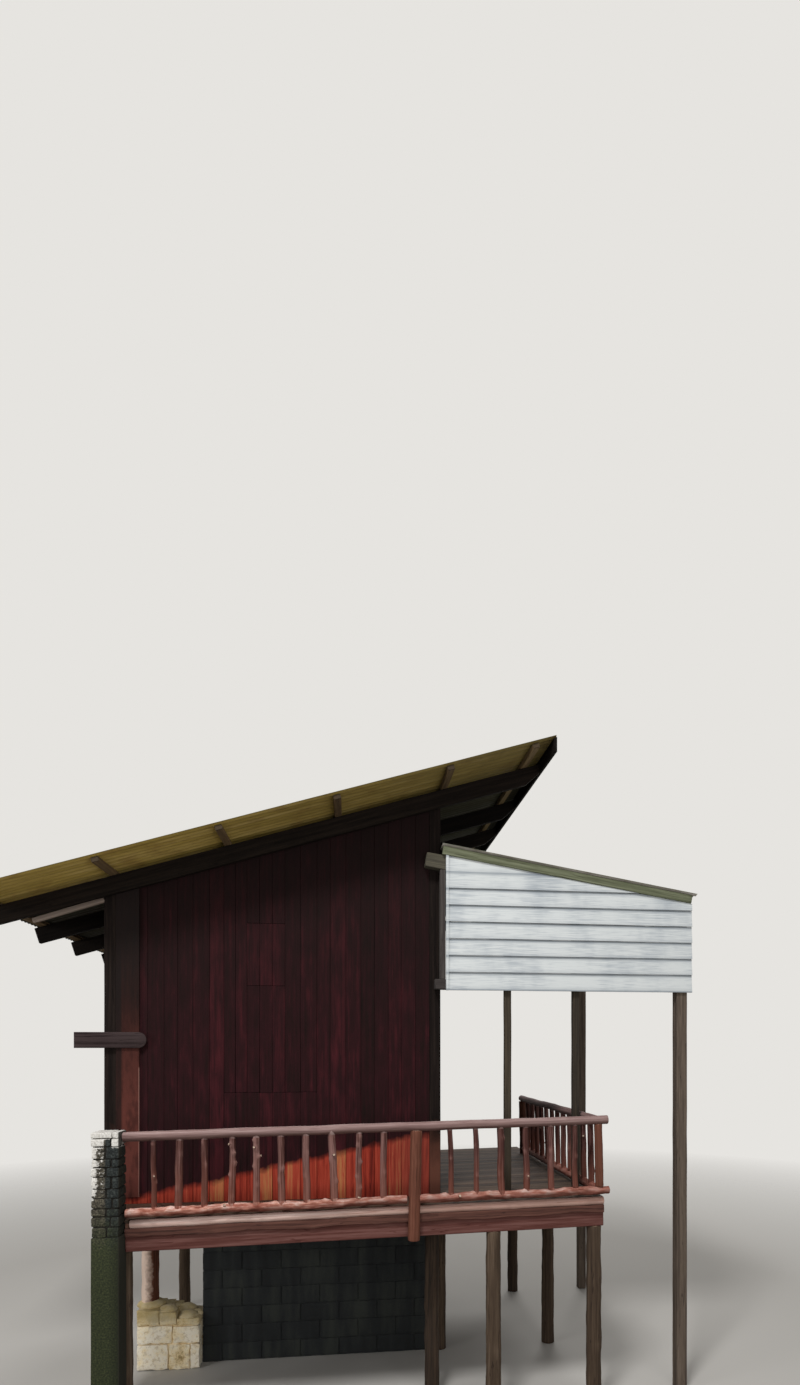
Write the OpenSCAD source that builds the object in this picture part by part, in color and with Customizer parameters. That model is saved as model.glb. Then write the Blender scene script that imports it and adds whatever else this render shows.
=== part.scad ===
// A small board cabin on stilts under a single-pitch sheet roof, with a log-railed deck
// along its front and side and a lean-to roof over the side porch.
// x runs along the front, y runs back from the front, z is up and 0 is the ground.
// Inside the modules x = 0 is the cabin's left face and y = 0 its front face;
// at_centre() then moves the origin to the middle of the whole outline.

/* [Cabin] */
// Width of the cabin over its corner posts
cabin_w = 2880; // [2700:10:3100]
// Depth of the cabin over its walls
cabin_d = 3000; // [2800:10:3200]
// Top of the cabin floor above the ground
floor_z = 1870; // [1800:5:1950]
// Thickness of the board walls
wall_t = 40; // [30:1:50]
// Side of the square corner posts
corner_post = 100; // [90:1:115]
// Thickness of the cabin floor boards
floor_t = 25; // [20:1:35]
// Width of the light board beside the front left corner post
corner_board_w = 190; // [150:5:220]
// Thickness of that board
corner_board_t = 18; // [12:1:25]
// From the top of the sills up to the foot of that board
corner_board_lift = 60; // [40:5:80]
// Side of the square plates along the heads of the side walls
plate_h = 80; // [70:5:100]

/* [Doorway to the porch] */
// From the front of the cabin to the doorway
door_y = 1000; // [800:10:1100]
// Width of the hole in the wall
door_w = 800; // [750:10:900]
// Height of the hole above the floor
door_h = 1900; // [1850:10:2000]
// Width of the jambs and the head
frame_w = 50; // [40:1:60]
// How far the frame stands out of each face of the wall
frame_lip = 15; // [5:1:25]

/* [Floor frame] */
// Width of the sill beams
sill_w = 120; // [110:1:140]
// Depth of the sill beams
sill_h = 180; // [170:1:200]
// Width of the joists
joist_w = 60; // [50:1:70]
// Depth of the joists
joist_h = 90; // [80:1:100]
// Largest distance from joist to joist
joist_pitch = 560; // [480:10:640]

/* [Main roof] */
// Pitch, rising from left to right, in degrees
roof_pitch = 17; // [15:0.5:18]
// Top of the rafters above the ground at the cabin's left face
roof_low = 4610; // [4500:10:4700]
// Reach of the sheets past the left face
eave_left = 970; // [850:10:1050]
// Reach of the sheets past the right face
eave_right = 930; // [850:10:1000]
// Reach of the sheets past the front and rear faces
verge = 540; // [500:10:620]
// Depth of the rafters
rafter_h = 150; // [130:5:170]
// Thickness of the rafters
rafter_t = 50; // [40:1:60]
// How far the rafters' lower ends stop short of the sheets' edge
rafter_back = 40; // [20:5:60]
// Depth of the board along the high eave
eave_board_h = 120; // [100:5:140]
// Thickness of that board
eave_board_t = 25; // [20:1:30]
// Height of the purlins
purlin_h = 40; // [35:1:50]
// Width of the purlins
purlin_w = 60; // [50:1:80]
// Distance from purlin to purlin along the level
purlin_pitch = 940; // [900:10:1000]
// From the low edge of the sheets to the first purlin
purlin_first = 120; // [100:10:160]
// From the high edge of the sheets to the last purlin
purlin_last = 170; // [140:10:200]
// How far the purlins stop short of the verge
purlin_back = 20; // [10:5:40]
// Height of the corrugated sheets over their waves
sheet_t = 20; // [16:1:26]

/* [Deck] */
// Width of the side porch from the cabin to the deck's right edge
porch_w = 1390; // [1350:10:1450]
// Width of the walkway from the front wall to the edge of the deck boards
walk_w = 380; // [360:5:420]
// From the cabin floor down to the deck boards at the middle of the front
deck_drop = 35; // [0:5:60]
// Lean of the deck, rising from left to right, in degrees
deck_tilt = 1.23; // [0:0.01:1.4]
// Thickness of the deck boards
deck_t = 30; // [25:1:35]
// Depth of the deck beams
beam_h = 142; // [120:1:150]
// Width of the deck beams
beam_w = 100; // [90:1:120]
// Depth of the plank over the joist ends
plank_h = 65; // [55:1:75]
// Thickness of that plank
plank_t = 25; // [20:1:30]
// Radius of the half log along the deck's edge
edge_r = 35; // [30:1:40]

/* [Log rails] */
// Height of the top rail's upper side above the deck
rail_top = 715; // [680:5:800]
// Radius of the top rail
top_rail_r = 40; // [36:1:50]
// How much less the radius of the side's top rail is
side_rail_less = 3; // [0:1:6]
// Radius of the lower rail
low_rail_r = 42; // [36:1:46]
// Gap between the deck and the lower rail
low_rail_gap = 22; // [15:1:30]
// Radius of the balusters
baluster_r = 31; // [26:1:35]
// Distance from baluster to baluster in the long bay
long_bay_pitch = 205; // [195:1:215]
// From the column to the first baluster
long_bay_first = 239; // [200:1:250]
// Distance from baluster to baluster in the short bay
short_bay_pitch = 218; // [205:1:225]
// From the middle post's foot to the first baluster of the short bay
short_bay_first = 324; // [290:1:340]
// From the foot of the middle post to the cabin's right face
mid_post_back = 280; // [240:5:320]
// Radius of the middle post
mid_post_r = 52; // [48:1:58]
// Lean of the middle post to the right, in degrees
mid_post_lean = 2.5; // [0:0.1:3]
// Least gap between a baluster and a post
baluster_gap = 20; // [10:5:40]
// From the middle of the side rail to the right ends of the front rails
rail_over = 85; // [70:5:100]
// How far the middle post reaches below the front beam
post_drop = 20; // [10:5:40]
// Radius of the corner post of the rails
corner_rail_r = 38; // [34:1:42]
// From the deck's right edge to the middle of the side rail
side_rail_in = 50; // [48:1:60]
// From the front of the cabin to the end post of the side rail
side_rail_end = 2400; // [2200:10:2500]
// Distance from baluster to baluster along the side rail
side_pitch = 215; // [205:1:230]

/* [Column, stilts and masonry] */
// Width of the block column at the front left
column_w = 212; // [200:2:220]
// From the cabin's left face to the column
column_x = 60; // [40:5:80]
// From the cabin floor up to the top of the column
column_rise = 645; // [600:5:730]
// Depth of the column
column_d = 212; // [200:2:220]
// Radius of the stilts
stilt_r = 70; // [60:1:75]
// From the cabin's right face to the inner front stilt
front_stilt_x = 420; // [380:10:500]
// How far the stilt behind the column shows past its right face
stilt_show = 35; // [25:1:50]
// Width of the masonry pier
pier_w = 600; // [550:10:650]
// Depth of the masonry pier
pier_d = 400; // [360:10:440]
// Height of the masonry pier
pier_h = 600; // [560:10:700]
// From the front of the cabin to the pier
pier_y = 1000; // [950:10:1100]
// Thickness of the masonry wall
masonry_t = 200; // [180:10:220]
// How far the masonry wall stands back from the pier's face
masonry_back = 150; // [120:10:180]
// Radius of the post on the pier
pier_post_r = 87; // [75:1:95]
// From the cabin's left face to that post
pier_post_in = 0; // [0:1:40]

/* [Lean-to] */
// Reach of the lean-to roof past the cabin's right face
lean_reach = 2380; // [2250:10:2450]
// Pitch, falling from left to right, in degrees
lean_pitch = 9.2; // [8:0.1:10]
// Top of the lean-to rafters above the ground at the cabin
lean_top = 4895; // [4850:5:4950]
// Depth of the lean-to rafters
lean_rafter_h = 125; // [110:5:140]
// Thickness of the inner lean-to rafters
lean_rafter_t = 60; // [50:1:80]
// Thickness of the front rafter and the beam below the boarding
lean_front_t = 100; // [90:1:110]
// How far the front rafter's end shows past the cabin's corner
lean_front_end = 130; // [100:5:160]
// Height of the lean-to purlins
lean_purlin_h = 75; // [60:1:95]
// Thickness of the board over the purlin ends
verge_board_t = 32; // [26:1:40]
// Overhang of the lean-to sheets past the front rafter
lean_verge = 50; // [40:5:80]
// Depth of the beam on the outer posts
eave_beam_h = 100; // [90:5:120]
// Number of bays between the lean-to purlins
lean_bays = 3; // [2:1:4]
// Side of the square outer posts
outer_post = 100; // [90:1:110]
// From the edge of the sheets to the outer posts
outer_post_in = 80; // [70:5:100]
// Side of the slender porch posts
porch_post = 60; // [50:1:70]
// From the cabin to the middle of the first porch post
porch_post_x = 604; // [560:5:640]
// From the cabin to the middle of the second porch post
porch_post_2 = 1240; // [1180:5:1260]
// Underside of the white boarding above the ground
siding_z = 3691; // [3650:1:3750]
// Height of one lapped board
course_h = 149; // [140:1:160]
// Number of full boards below the top one
course_n = 6; // [5:1:7]
// Thickness of a lapped board at its lower edge
siding_t = 24; // [20:1:28]
// Thickness of a lapped board at its upper edge
siding_thin = 10; // [8:1:14]
// From the cabin to the boarding
siding_x = 35; // [20:1:50]
// Depth of the beam behind the foot of the boarding
foot_beam_h = 90; // [80:1:100]
// From the foot of the boarding up to the underside of that beam
foot_beam_lift = 9; // [5:1:15]
// How far that beam laps over the cabin's corner post
foot_beam_lap = 60; // [40:5:80]

/* [Name board] */
// Length of the bare board at the front left corner
sign_l = 582; // [540:1:600]
// Height of the board
sign_h = 135; // [120:1:150]
// Thickness of the board
sign_t = 20; // [15:1:25]
// Underside of the board above the ground
sign_z = 3177; // [3150:1:3300]
// How far it reaches past the cabin's left face
sign_out = 230; // [200:1:260]

/* [Hidden] */
// Gap between pieces that seat on each other without being fixed flat
seat = 0.3;
// Smoothness of the logs
log_fn = 48;
// Longer than anything here
far = 20000;

centre_x = (cabin_w + lean_reach - eave_left) / 2;
centre_y = cabin_d / 2;
sill_top = floor_z - floor_t;
sill_z = sill_top - sill_h;
deck_top = floor_z - deck_drop;
masonry_y = pier_y + masonry_back;
porch_beam_y = [masonry_y, cabin_d - beam_w];

// Main roof: heights, and distances along the slope
function roof_z(x) = roof_low + x * tan(roof_pitch);
function slope_s(x, n) = (x + n * sin(roof_pitch)) / cos(roof_pitch);
rafter_drop = rafter_h / cos(roof_pitch);
roof_right = cabin_w + eave_right;

// Lean-to: heights, and distances along the slope
function lean_z(x) = lean_top - (x - cabin_w) * tan(lean_pitch);
function lean_s(x, n) = (x - cabin_w - n * sin(lean_pitch)) / cos(lean_pitch);
lean_drop = lean_rafter_h / cos(lean_pitch);
lean_right = cabin_w + lean_reach;
outer_x = lean_right - outer_post_in - outer_post;
eave_beam_z = lean_z(outer_x + outer_post) - lean_drop - eave_beam_h;
foot_beam_z = siding_z + foot_beam_lift;

// Deck: it leans, so its pieces are laid out in its own frame
column_right = column_x + column_w;
deck_right = cabin_w + porch_w;
deck_mid = (column_right + deck_right) / 2;
function deck_z(x) = deck_top + (x - deck_mid) * tan(deck_tilt);
function deck_u(x, z) = (x - deck_mid + z * sin(deck_tilt)) / cos(deck_tilt);
beam_top = -deck_t - joist_h;
beam_bottom = beam_top - beam_h;
deck_end = deck_u(deck_right, 0);
rail_y = -walk_w - mid_post_r - seat;
top_rail_z = rail_top - top_rail_r;
low_rail_z = low_rail_gap + low_rail_r;
mid_post_u = deck_u(cabin_w - mid_post_back, beam_bottom);
side_rail_u = deck_end - side_rail_in;
side_top_r = top_rail_r - side_rail_less;
rail_end = side_rail_u + rail_over;
long_bay_u = deck_u(column_right + long_bay_first, 0);
short_bay_u = mid_post_u + short_bay_first;
bay_gap = mid_post_r + baluster_r + baluster_gap;
long_bay_last = floor((mid_post_u - bay_gap - long_bay_u) / long_bay_pitch);
short_bay_last = floor((side_rail_u - bay_gap - short_bay_u) / short_bay_pitch);

// Frames

module at_centre() translate([-centre_x, -centre_y, 0]) children();

// Slope of the main roof: x runs up the slope, z = 0 is the top of the rafters
module on_roof() at_centre() translate([0, 0, roof_low]) rotate([0, -roof_pitch, 0]) children();

// Slope of the lean-to: x runs down the slope, z = 0 is the top of its rafters
module on_lean() at_centre() translate([cabin_w, 0, lean_top]) rotate([0, lean_pitch, 0]) children();

// Leaning deck: x = 0 is the middle of the front, z = 0 the top of the boards
module on_deck() at_centre() translate([deck_mid, 0, deck_top]) rotate([0, -deck_tilt, 0]) children();

// Shapes

// Block from one corner to the opposite one
module block(a, b) translate(a) cube(b - a);

// Outline in x and z, carried from y0 to y1
module profile_y(points, y0, y1)
  translate([0, y1, 0]) rotate([90, 0, 0]) linear_extrude(y1 - y0) polygon(points);

// Log along x, with its middle at y and z
module log_x(x0, x1, y, z, r)
  translate([x0, y, z]) rotate([0, 90, 0]) cylinder(h = x1 - x0, r = r, $fn = log_fn);

// Log along y, with its middle at x and z
module log_y(y0, y1, x, z, r)
  translate([x, y0, z]) rotate([-90, 0, 0]) cylinder(h = y1 - y0, r = r, $fn = log_fn);

// Upright log
module log_z(x, y, z0, z1, r)
  translate([x, y, z0]) cylinder(h = z1 - z0, r = r, $fn = log_fn);

// Upright log from the ground to the underside of the leaning deck beams
module deck_stilt(x, y)
  intersection() {
    at_centre() log_z(x, y, 0, deck_top, stilt_r);
    on_deck() block([-far, -far, -far], [far, far, beam_bottom]);
  }

// Column, stilts and masonry

module front_left_column()
  color("#8d9487") at_centre()
    block([column_x, -verge, 0], [column_right, column_d - verge, floor_z + column_rise]);

module front_stilts()
  color("#6d5547") {
    for (x = [cabin_w + front_stilt_x, deck_right - stilt_r]) deck_stilt(x, beam_w / 2 - walk_w);
    // the one that carries the beam's left end, close behind the column
    deck_stilt(column_right + stilt_show - stilt_r, column_d - verge + seat + stilt_r);
  }

module porch_stilts()
  color("#6d5547") {
    for (x = [cabin_w + 2 * stilt_r, deck_right - stilt_r])
      for (y = porch_beam_y) deck_stilt(x, y + beam_w / 2);
  }

module cabin_stilts()
  color("#5f4a3e") at_centre() {
    for (x = [stilt_r, cabin_w - stilt_r])
      for (y = [stilt_r, cabin_d - stilt_r]) log_z(x, y, 0, sill_z, stilt_r);
    log_z(cabin_w / 2, cabin_d - stilt_r, 0, sill_z, stilt_r);
  }

module masonry_pier()
  color("#cfc4ae") at_centre() block([0, pier_y, 0], [pier_w, pier_y + pier_d, pier_h]);

module masonry_wall()
  color("#6f6a60") at_centre()
    block([pier_w, masonry_y, 0], [cabin_w, masonry_y + masonry_t, sill_z]);

module pier_post()
  color("#7a4a3a") at_centre()
    log_z(pier_post_r + pier_post_in, pier_y + pier_d / 2, pier_h, sill_z, pier_post_r);

// Cabin floor

module cabin_sills()
  color("#5b3a30") at_centre() {
    for (y = [0, cabin_d - sill_w]) block([0, y, sill_z], [cabin_w, y + sill_w, sill_top]);
    for (x = [0, cabin_w - sill_w])
      block([x, sill_w + seat, sill_z], [x + sill_w, cabin_d - sill_w - seat, sill_top]);
    block([sill_w + seat, masonry_y + (masonry_t - sill_w) / 2, sill_z],
          [cabin_w - sill_w - seat, masonry_y + (masonry_t + sill_w) / 2, sill_top - joist_h]);
  }

cabin_bays = ceil((cabin_w - 2 * sill_w - joist_w) / joist_pitch);
cabin_step = (cabin_w - 2 * sill_w - joist_w) / cabin_bays;

module cabin_joists()
  color("#5b3a30") at_centre()
    for (i = [1 : cabin_bays - 1])
      block([sill_w + i * cabin_step, sill_w + seat, sill_top - joist_h],
            [sill_w + i * cabin_step + joist_w, cabin_d - sill_w - seat, sill_top]);

module cabin_floor()
  color("#7d5a45") at_centre()
    difference() {
      block([wall_t + seat, wall_t + seat, sill_top],
            [cabin_w - wall_t - seat, cabin_d - wall_t - seat, floor_z]);
      for (x = [0, cabin_w - corner_post - seat])
        for (y = [0, cabin_d - corner_post - seat])
          translate([x, y, sill_z]) cube([corner_post + seat, corner_post + seat, far]);
    }

// Deck

module deck_beams()
  color("#7a5247") on_deck() {
    block([deck_u(column_right + seat, beam_top), -walk_w, beam_bottom],
          [deck_end, beam_w - walk_w, beam_top]);
    for (y = porch_beam_y)
      block([deck_u(cabin_w + seat, beam_top), y, beam_bottom], [deck_end, y + beam_w, beam_top]);
  }

walk_u = deck_u(column_right + seat, -deck_t);
porch_u = deck_u(cabin_w + seat, -deck_t);
walk_bays = ceil((porch_u - walk_u) / joist_pitch);
walk_step = (porch_u - walk_u) / walk_bays;
porch_bays = ceil((deck_end - joist_w - porch_u) / joist_pitch);
porch_step = (deck_end - joist_w - porch_u) / porch_bays;

module deck_joists()
  color("#6b473c") on_deck() {
    for (i = [0 : walk_bays - 1])
      translate([walk_u + i * walk_step, 0, 0]) block([0, -walk_w, beam_top], [joist_w, -seat, -deck_t]);
    for (i = [0 : porch_bays])
      translate([porch_u + i * porch_step, 0, 0])
        block([0, -walk_w, beam_top], [joist_w, cabin_d, -deck_t]);
  }

module walkway_floor()
  color("#8a6a58") on_deck()
    block([deck_u(column_right + seat, 0), -walk_w, -deck_t], [deck_end, -seat, 0]);

module porch_floor()
  color("#8a6a58") on_deck()
    block([deck_u(cabin_w + seat, 0), -seat, -deck_t], [deck_end, cabin_d, 0]);

module joist_plank()
  color("#7a5247") on_deck()
    block([deck_u(column_right + seat, 0), -walk_w - plank_t, -2 * edge_r - plank_h],
          [deck_end, -walk_w, -2 * edge_r]);

// Half log with its flat side against the deck
module deck_edge_log()
  color("#b59a8a") on_deck() edge_log(0);

module edge_log(more)
  difference() {
    log_x(deck_u(column_right + seat, 0), deck_end, -walk_w, -edge_r, edge_r + more);
    block([-far, -walk_w, -far], [far, far, far]);
  }

// Rails

module top_rail_log(more = 0)
  log_x(deck_u(column_right + seat, rail_top), rail_end, rail_y, top_rail_z, top_rail_r + more);

module low_rail_log(more = 0)
  log_x(deck_u(column_right + seat, low_rail_z + low_rail_r), rail_end, rail_y, low_rail_z,
        low_rail_r + more);

module side_top_log(more = 0)
  log_y(rail_y, side_rail_end + 2 * top_rail_r, side_rail_u, top_rail_z, side_top_r + more);

// Middle post of the front: it leans, and it reaches down past the beam
module middle_post(more = 0)
  translate([mid_post_u, rail_y, beam_bottom - post_drop]) rotate([0, mid_post_lean, 0])
    cylinder(h = top_rail_z - beam_bottom + post_drop, r = mid_post_r + more, $fn = log_fn);

module front_balusters(first, pitch, last)
  for (i = [0 : last]) log_z(first + i * pitch, rail_y, low_rail_z, top_rail_z, baluster_r);

// The lower rail butts against the middle post; the top rail runs over it
module front_railing()
  color("#a88478") on_deck() {
    top_rail_log();
    front_balusters(long_bay_u, long_bay_pitch, long_bay_last);
    front_balusters(short_bay_u, short_bay_pitch, short_bay_last);
    difference() {
      low_rail_log();
      middle_post(seat);
    }
  }

side_count = floor((side_rail_end - rail_y - side_pitch / 2) / side_pitch);

// The rails start behind the front ones and end at the side's last post
module side_railing()
  color("#a88478") on_deck()
    difference() {
      union() {
        side_top_log();
        log_y(rail_y, side_rail_end, side_rail_u, low_rail_z, low_rail_r);
        for (i = [1 : side_count])
          log_z(side_rail_u, rail_y + i * side_pitch, low_rail_z, top_rail_z, baluster_r);
      }
      top_rail_log(seat);
      low_rail_log(seat);
      log_z(side_rail_u, rail_y, 0, rail_top, corner_rail_r + seat);
      log_z(side_rail_u, side_rail_end, 0, top_rail_z, mid_post_r + seat);
    }

module rail_posts()
  color("#a07c68") on_deck() {
    // notched over the edge log and the plank
    difference() {
      middle_post();
      top_rail_log(seat);
      edge_log(seat);
      block([-far, -walk_w - plank_t - seat, -2 * edge_r - plank_h - seat], [far, far, -edge_r]);
    }
    difference() {
      log_z(side_rail_u, rail_y, low_rail_z, top_rail_z, corner_rail_r);
      top_rail_log(seat);
      low_rail_log(seat);
    }
    difference() {
      log_z(side_rail_u, side_rail_end, 0, top_rail_z, mid_post_r);
      side_top_log(seat);
    }
  }

// Walls

// Outline in x and z from z0 up to the slope lowered by drop
function under_roof(x0, x1, z0, drop) =
  [[x0, z0], [x1, z0], [x1, roof_z(x1) - drop], [x0, roof_z(x0) - drop]];

module corner_posts()
  color("#3a2a28") at_centre()
    for (x = [0, cabin_w - corner_post])
      for (y = [0, cabin_d - corner_post])
        profile_y(under_roof(x, x + corner_post, sill_top, 0), y, y + corner_post);

module corner_board()
  color("#8a3f36") at_centre()
    profile_y(under_roof(corner_post, corner_post + corner_board_w, sill_top + corner_board_lift,
                         rafter_drop + seat), -corner_board_t, 0);

module front_wall()
  color("#6a2a2c") at_centre()
    profile_y(under_roof(corner_post, cabin_w - corner_post, sill_top, 0), 0, wall_t);

module rear_wall()
  color("#6a2a2c") at_centre()
    profile_y(under_roof(corner_post, cabin_w - corner_post, sill_top, 0), cabin_d - wall_t, cabin_d);

module left_wall()
  color("#6a2a2c") at_centre()
    profile_y(under_roof(0, wall_t, sill_top, rafter_drop), corner_post, cabin_d - corner_post);

module porch_wall(z0, y0, y1)
  color("#6a2a2c") at_centre()
    profile_y(under_roof(cabin_w - wall_t, cabin_w, z0, rafter_drop), y0, y1);

module porch_wall_front() porch_wall(sill_top, corner_post, door_y);

module porch_wall_rear() porch_wall(sill_top, door_y + door_w, cabin_d - corner_post);

module porch_wall_over_door() porch_wall(floor_z + door_h, door_y, door_y + door_w);

module door_frame()
  color("#4a2f28") at_centre() {
    x0 = cabin_w - wall_t - frame_lip;
    x1 = cabin_w + frame_lip;
    head = floor_z + door_h - frame_w;
    for (y = [door_y, door_y + door_w - frame_w]) block([x0, y, floor_z], [x1, y + frame_w, head - seat]);
    block([x0, door_y, head], [x1, door_y + door_w, head + frame_w]);
  }

// Plates along the heads of the side walls, which carry the inner rafters
module wall_plates()
  color("#5b3a30") at_centre()
    for (x = [wall_t, cabin_w - wall_t - plate_h])
      profile_y([[x, roof_z(x) - rafter_drop - plate_h], [x + plate_h, roof_z(x) - rafter_drop - plate_h],
                 [x + plate_h, roof_z(x + plate_h) - rafter_drop], [x, roof_z(x) - rafter_drop]],
                corner_post + seat, cabin_d - corner_post - seat);

// Main roof

// Point at s up the slope and n above the rafters' tops, in x and z
function roof_point(s, n) =
  [s * cos(roof_pitch) - n * sin(roof_pitch), roof_low + s * sin(roof_pitch) + n * cos(roof_pitch)];

// Cut square at the low end and upright at the high end
module rafters()
  color("#4b3528") at_centre() {
    s = slope_s(rafter_back - eave_left, 0);
    x = roof_right - eave_board_t;
    for (y = [-rafter_t, (cabin_d - rafter_t) / 3, (2 * cabin_d - rafter_t) / 3, cabin_d])
      profile_y([roof_point(s, 0), roof_point(s, -rafter_h), [x, roof_z(x) - rafter_drop], [x, roof_z(x)]],
                y, y + rafter_t);
  }

// Upright board on the rafters' high ends, with its top against the sheets
module eave_board()
  color("#4b3528") at_centre() {
    x = roof_right - eave_board_t;
    lift = purlin_h / cos(roof_pitch);
    profile_y([[x, roof_z(x) + lift - eave_board_h], [roof_right, roof_z(x) + lift - eave_board_h],
               [roof_right, roof_z(roof_right) + lift], [x, roof_z(x) + lift]],
              -verge, cabin_d + verge);
  }

purlin_a = purlin_first - eave_left;
purlin_b = roof_right - purlin_last;
purlin_n = floor((purlin_b - purlin_a - purlin_pitch / 3) / purlin_pitch);

module purlins()
  color("#4b3528") on_roof()
    for (x = [for (i = [0 : purlin_n]) purlin_a + i * purlin_pitch, purlin_b])
      translate([slope_s(x, 0), 0, 0])
        block([-purlin_w / 2, purlin_back - verge, 0],
              [purlin_w / 2, cabin_d + verge - purlin_back, purlin_h]);

module roof_sheets()
  color("#8b8a6e") on_roof()
    block([slope_s(-eave_left, purlin_h + sheet_t), -verge, purlin_h],
          [slope_s(roof_right, purlin_h), cabin_d + verge, purlin_h + sheet_t]);

// Lean-to

module lean_front_rafter()
  color("#8c8074") on_lean()
    block([lean_s(cabin_w - lean_front_end, 0), -lean_front_t, -lean_rafter_h],
          [lean_s(lean_right - rafter_back, 0), 0, 0]);

module lean_rafters()
  color("#5a4a3e") on_lean()
    for (y = [(cabin_d - lean_rafter_t) / 3, (2 * cabin_d - lean_rafter_t) / 3, cabin_d - lean_rafter_t])
      block([lean_s(cabin_w + seat, -lean_rafter_h), y, -lean_rafter_h],
            [lean_s(lean_right - rafter_back, 0), y + lean_rafter_t, 0]);

// Outline in x and z below the lean-to rafters, from z0 up
function under_lean(x0, x1, z0) =
  [[x0, z0], [x1, z0], [x1, lean_z(x1) - lean_drop], [x0, lean_z(x0) - lean_drop]];

module lean_ledger()
  color("#5a4a3e") at_centre()
    profile_y(under_lean(cabin_w, cabin_w + rafter_t, lean_top - lean_drop - foot_beam_h), 0, cabin_d);

module lean_eave_beam()
  color("#5a4a3e") at_centre()
    profile_y(under_lean(outer_x, outer_x + outer_post, eave_beam_z), -lean_front_t, cabin_d);

lean_step = (lean_reach - 2 * purlin_w) / lean_bays;

module lean_purlins()
  color("#5a4a3e") on_lean()
    for (i = [0 : lean_bays])
      translate([lean_s(cabin_w + purlin_w + i * lean_step, lean_purlin_h), 0, 0])
        block([-purlin_w / 2, -lean_front_t, 0], [purlin_w / 2, cabin_d, lean_purlin_h]);

module lean_verge_board()
  color("#8c9080") on_lean()
    block([lean_s(cabin_w + seat, 0), -lean_front_t - verge_board_t, 0],
          [lean_s(lean_right - rafter_back, lean_purlin_h), -lean_front_t, lean_purlin_h]);

module lean_sheets()
  color("#8c9080") on_lean()
    block([lean_s(cabin_w + seat, lean_purlin_h), -lean_front_t - lean_verge, lean_purlin_h],
          [lean_s(lean_right, lean_purlin_h + sheet_t), cabin_d + lean_verge, lean_purlin_h + sheet_t]);

// Lapped boards: each leans out over the one below, and the roof cuts the top one
module lean_siding()
  color("white") at_centre()
    intersection() {
      translate([cabin_w + siding_x, -lean_front_t, 0]) rotate([90, 0, 90])
        linear_extrude(lean_reach - siding_x - rafter_back)
          polygon(concat(
            [[0, far], [0, siding_z]],
            [for (i = [0 : course_n])
              each [[-siding_t, siding_z + i * course_h],
                    [-siding_thin, i == course_n ? far : siding_z + (i + 1) * course_h]]]
          ));
      profile_y([[cabin_w, siding_z], [lean_right, siding_z], [lean_right, lean_z(lean_right)],
                 [cabin_w, lean_top]], -far, far);
    }

module siding_foot_beam()
  color("#4f453c") at_centre()
    block([cabin_w - foot_beam_lap, -lean_front_t, foot_beam_z], [outer_x, 0, foot_beam_z + foot_beam_h]);

// Posts from the deck to the foot beam, and studs from there to the front rafter
module porch_posts()
  color("#8a6f58") at_centre()
    for (x = [porch_post_x, porch_post_2]) {
      x0 = cabin_w + x - porch_post / 2;
      x1 = x0 + porch_post;
      y0 = -(lean_front_t + porch_post) / 2;
      profile_y([[x0, deck_z(x0)], [x1, deck_z(x1)], [x1, foot_beam_z], [x0, foot_beam_z]],
                y0, y0 + porch_post);
      profile_y(under_lean(x0, x1, foot_beam_z + foot_beam_h), y0, y0 + porch_post);
    }

module outer_posts()
  color("#6d5547") at_centre()
    for (y = [-lean_front_t, cabin_d - outer_post])
      block([outer_x, y, 0], [outer_x + outer_post, y + outer_post, eave_beam_z]);

// Name board, left bare

module name_board()
  color("#9a8a80") at_centre()
    translate([-sign_out, -corner_board_t, sign_z]) rotate([90, 0, 0])
      linear_extrude(sign_t) {
        square([sign_l - sign_h / 2, sign_h]);
        translate([sign_l - sign_h / 2, sign_h / 2]) circle(d = sign_h, $fn = log_fn);
      }

front_left_column();
front_stilts();
porch_stilts();
cabin_stilts();
masonry_pier();
masonry_wall();
pier_post();
cabin_sills();
cabin_joists();
cabin_floor();
deck_beams();
deck_joists();
joist_plank();
deck_edge_log();
walkway_floor();
porch_floor();
front_railing();
side_railing();
rail_posts();
corner_posts();
corner_board();
front_wall();
left_wall();
rear_wall();
porch_wall_front();
porch_wall_rear();
porch_wall_over_door();
door_frame();
wall_plates();
rafters();
purlins();
eave_board();
roof_sheets();
lean_front_rafter();
lean_rafters();
lean_ledger();
lean_eave_beam();
lean_purlins();
lean_verge_board();
lean_sheets();
lean_siding();
siding_foot_beam();
porch_posts();
outer_posts();
name_board();
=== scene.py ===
from math import atan2, cos, exp, pi, radians, sin, tan
from random import Random

import bmesh
import bpy
from mathutils import Matrix, Vector, noise


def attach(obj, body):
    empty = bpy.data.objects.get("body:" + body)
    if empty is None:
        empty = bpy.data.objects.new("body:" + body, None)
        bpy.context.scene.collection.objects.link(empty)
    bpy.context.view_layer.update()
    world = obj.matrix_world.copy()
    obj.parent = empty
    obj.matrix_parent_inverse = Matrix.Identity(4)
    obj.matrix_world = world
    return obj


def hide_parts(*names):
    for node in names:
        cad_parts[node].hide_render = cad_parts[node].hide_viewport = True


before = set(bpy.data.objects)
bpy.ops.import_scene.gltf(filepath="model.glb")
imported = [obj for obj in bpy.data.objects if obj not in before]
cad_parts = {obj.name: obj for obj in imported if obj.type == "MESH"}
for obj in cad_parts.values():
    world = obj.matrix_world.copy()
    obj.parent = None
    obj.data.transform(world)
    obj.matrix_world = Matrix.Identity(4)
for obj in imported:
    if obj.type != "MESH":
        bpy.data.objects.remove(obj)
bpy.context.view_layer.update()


# Studio. A level camera stands in front of the house at the height of its name board, and its
# lens is shifted upwards, as the photograph's framing of 800 x 1385 needs.
eye = bpy.data.cameras.new("eye")
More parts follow.
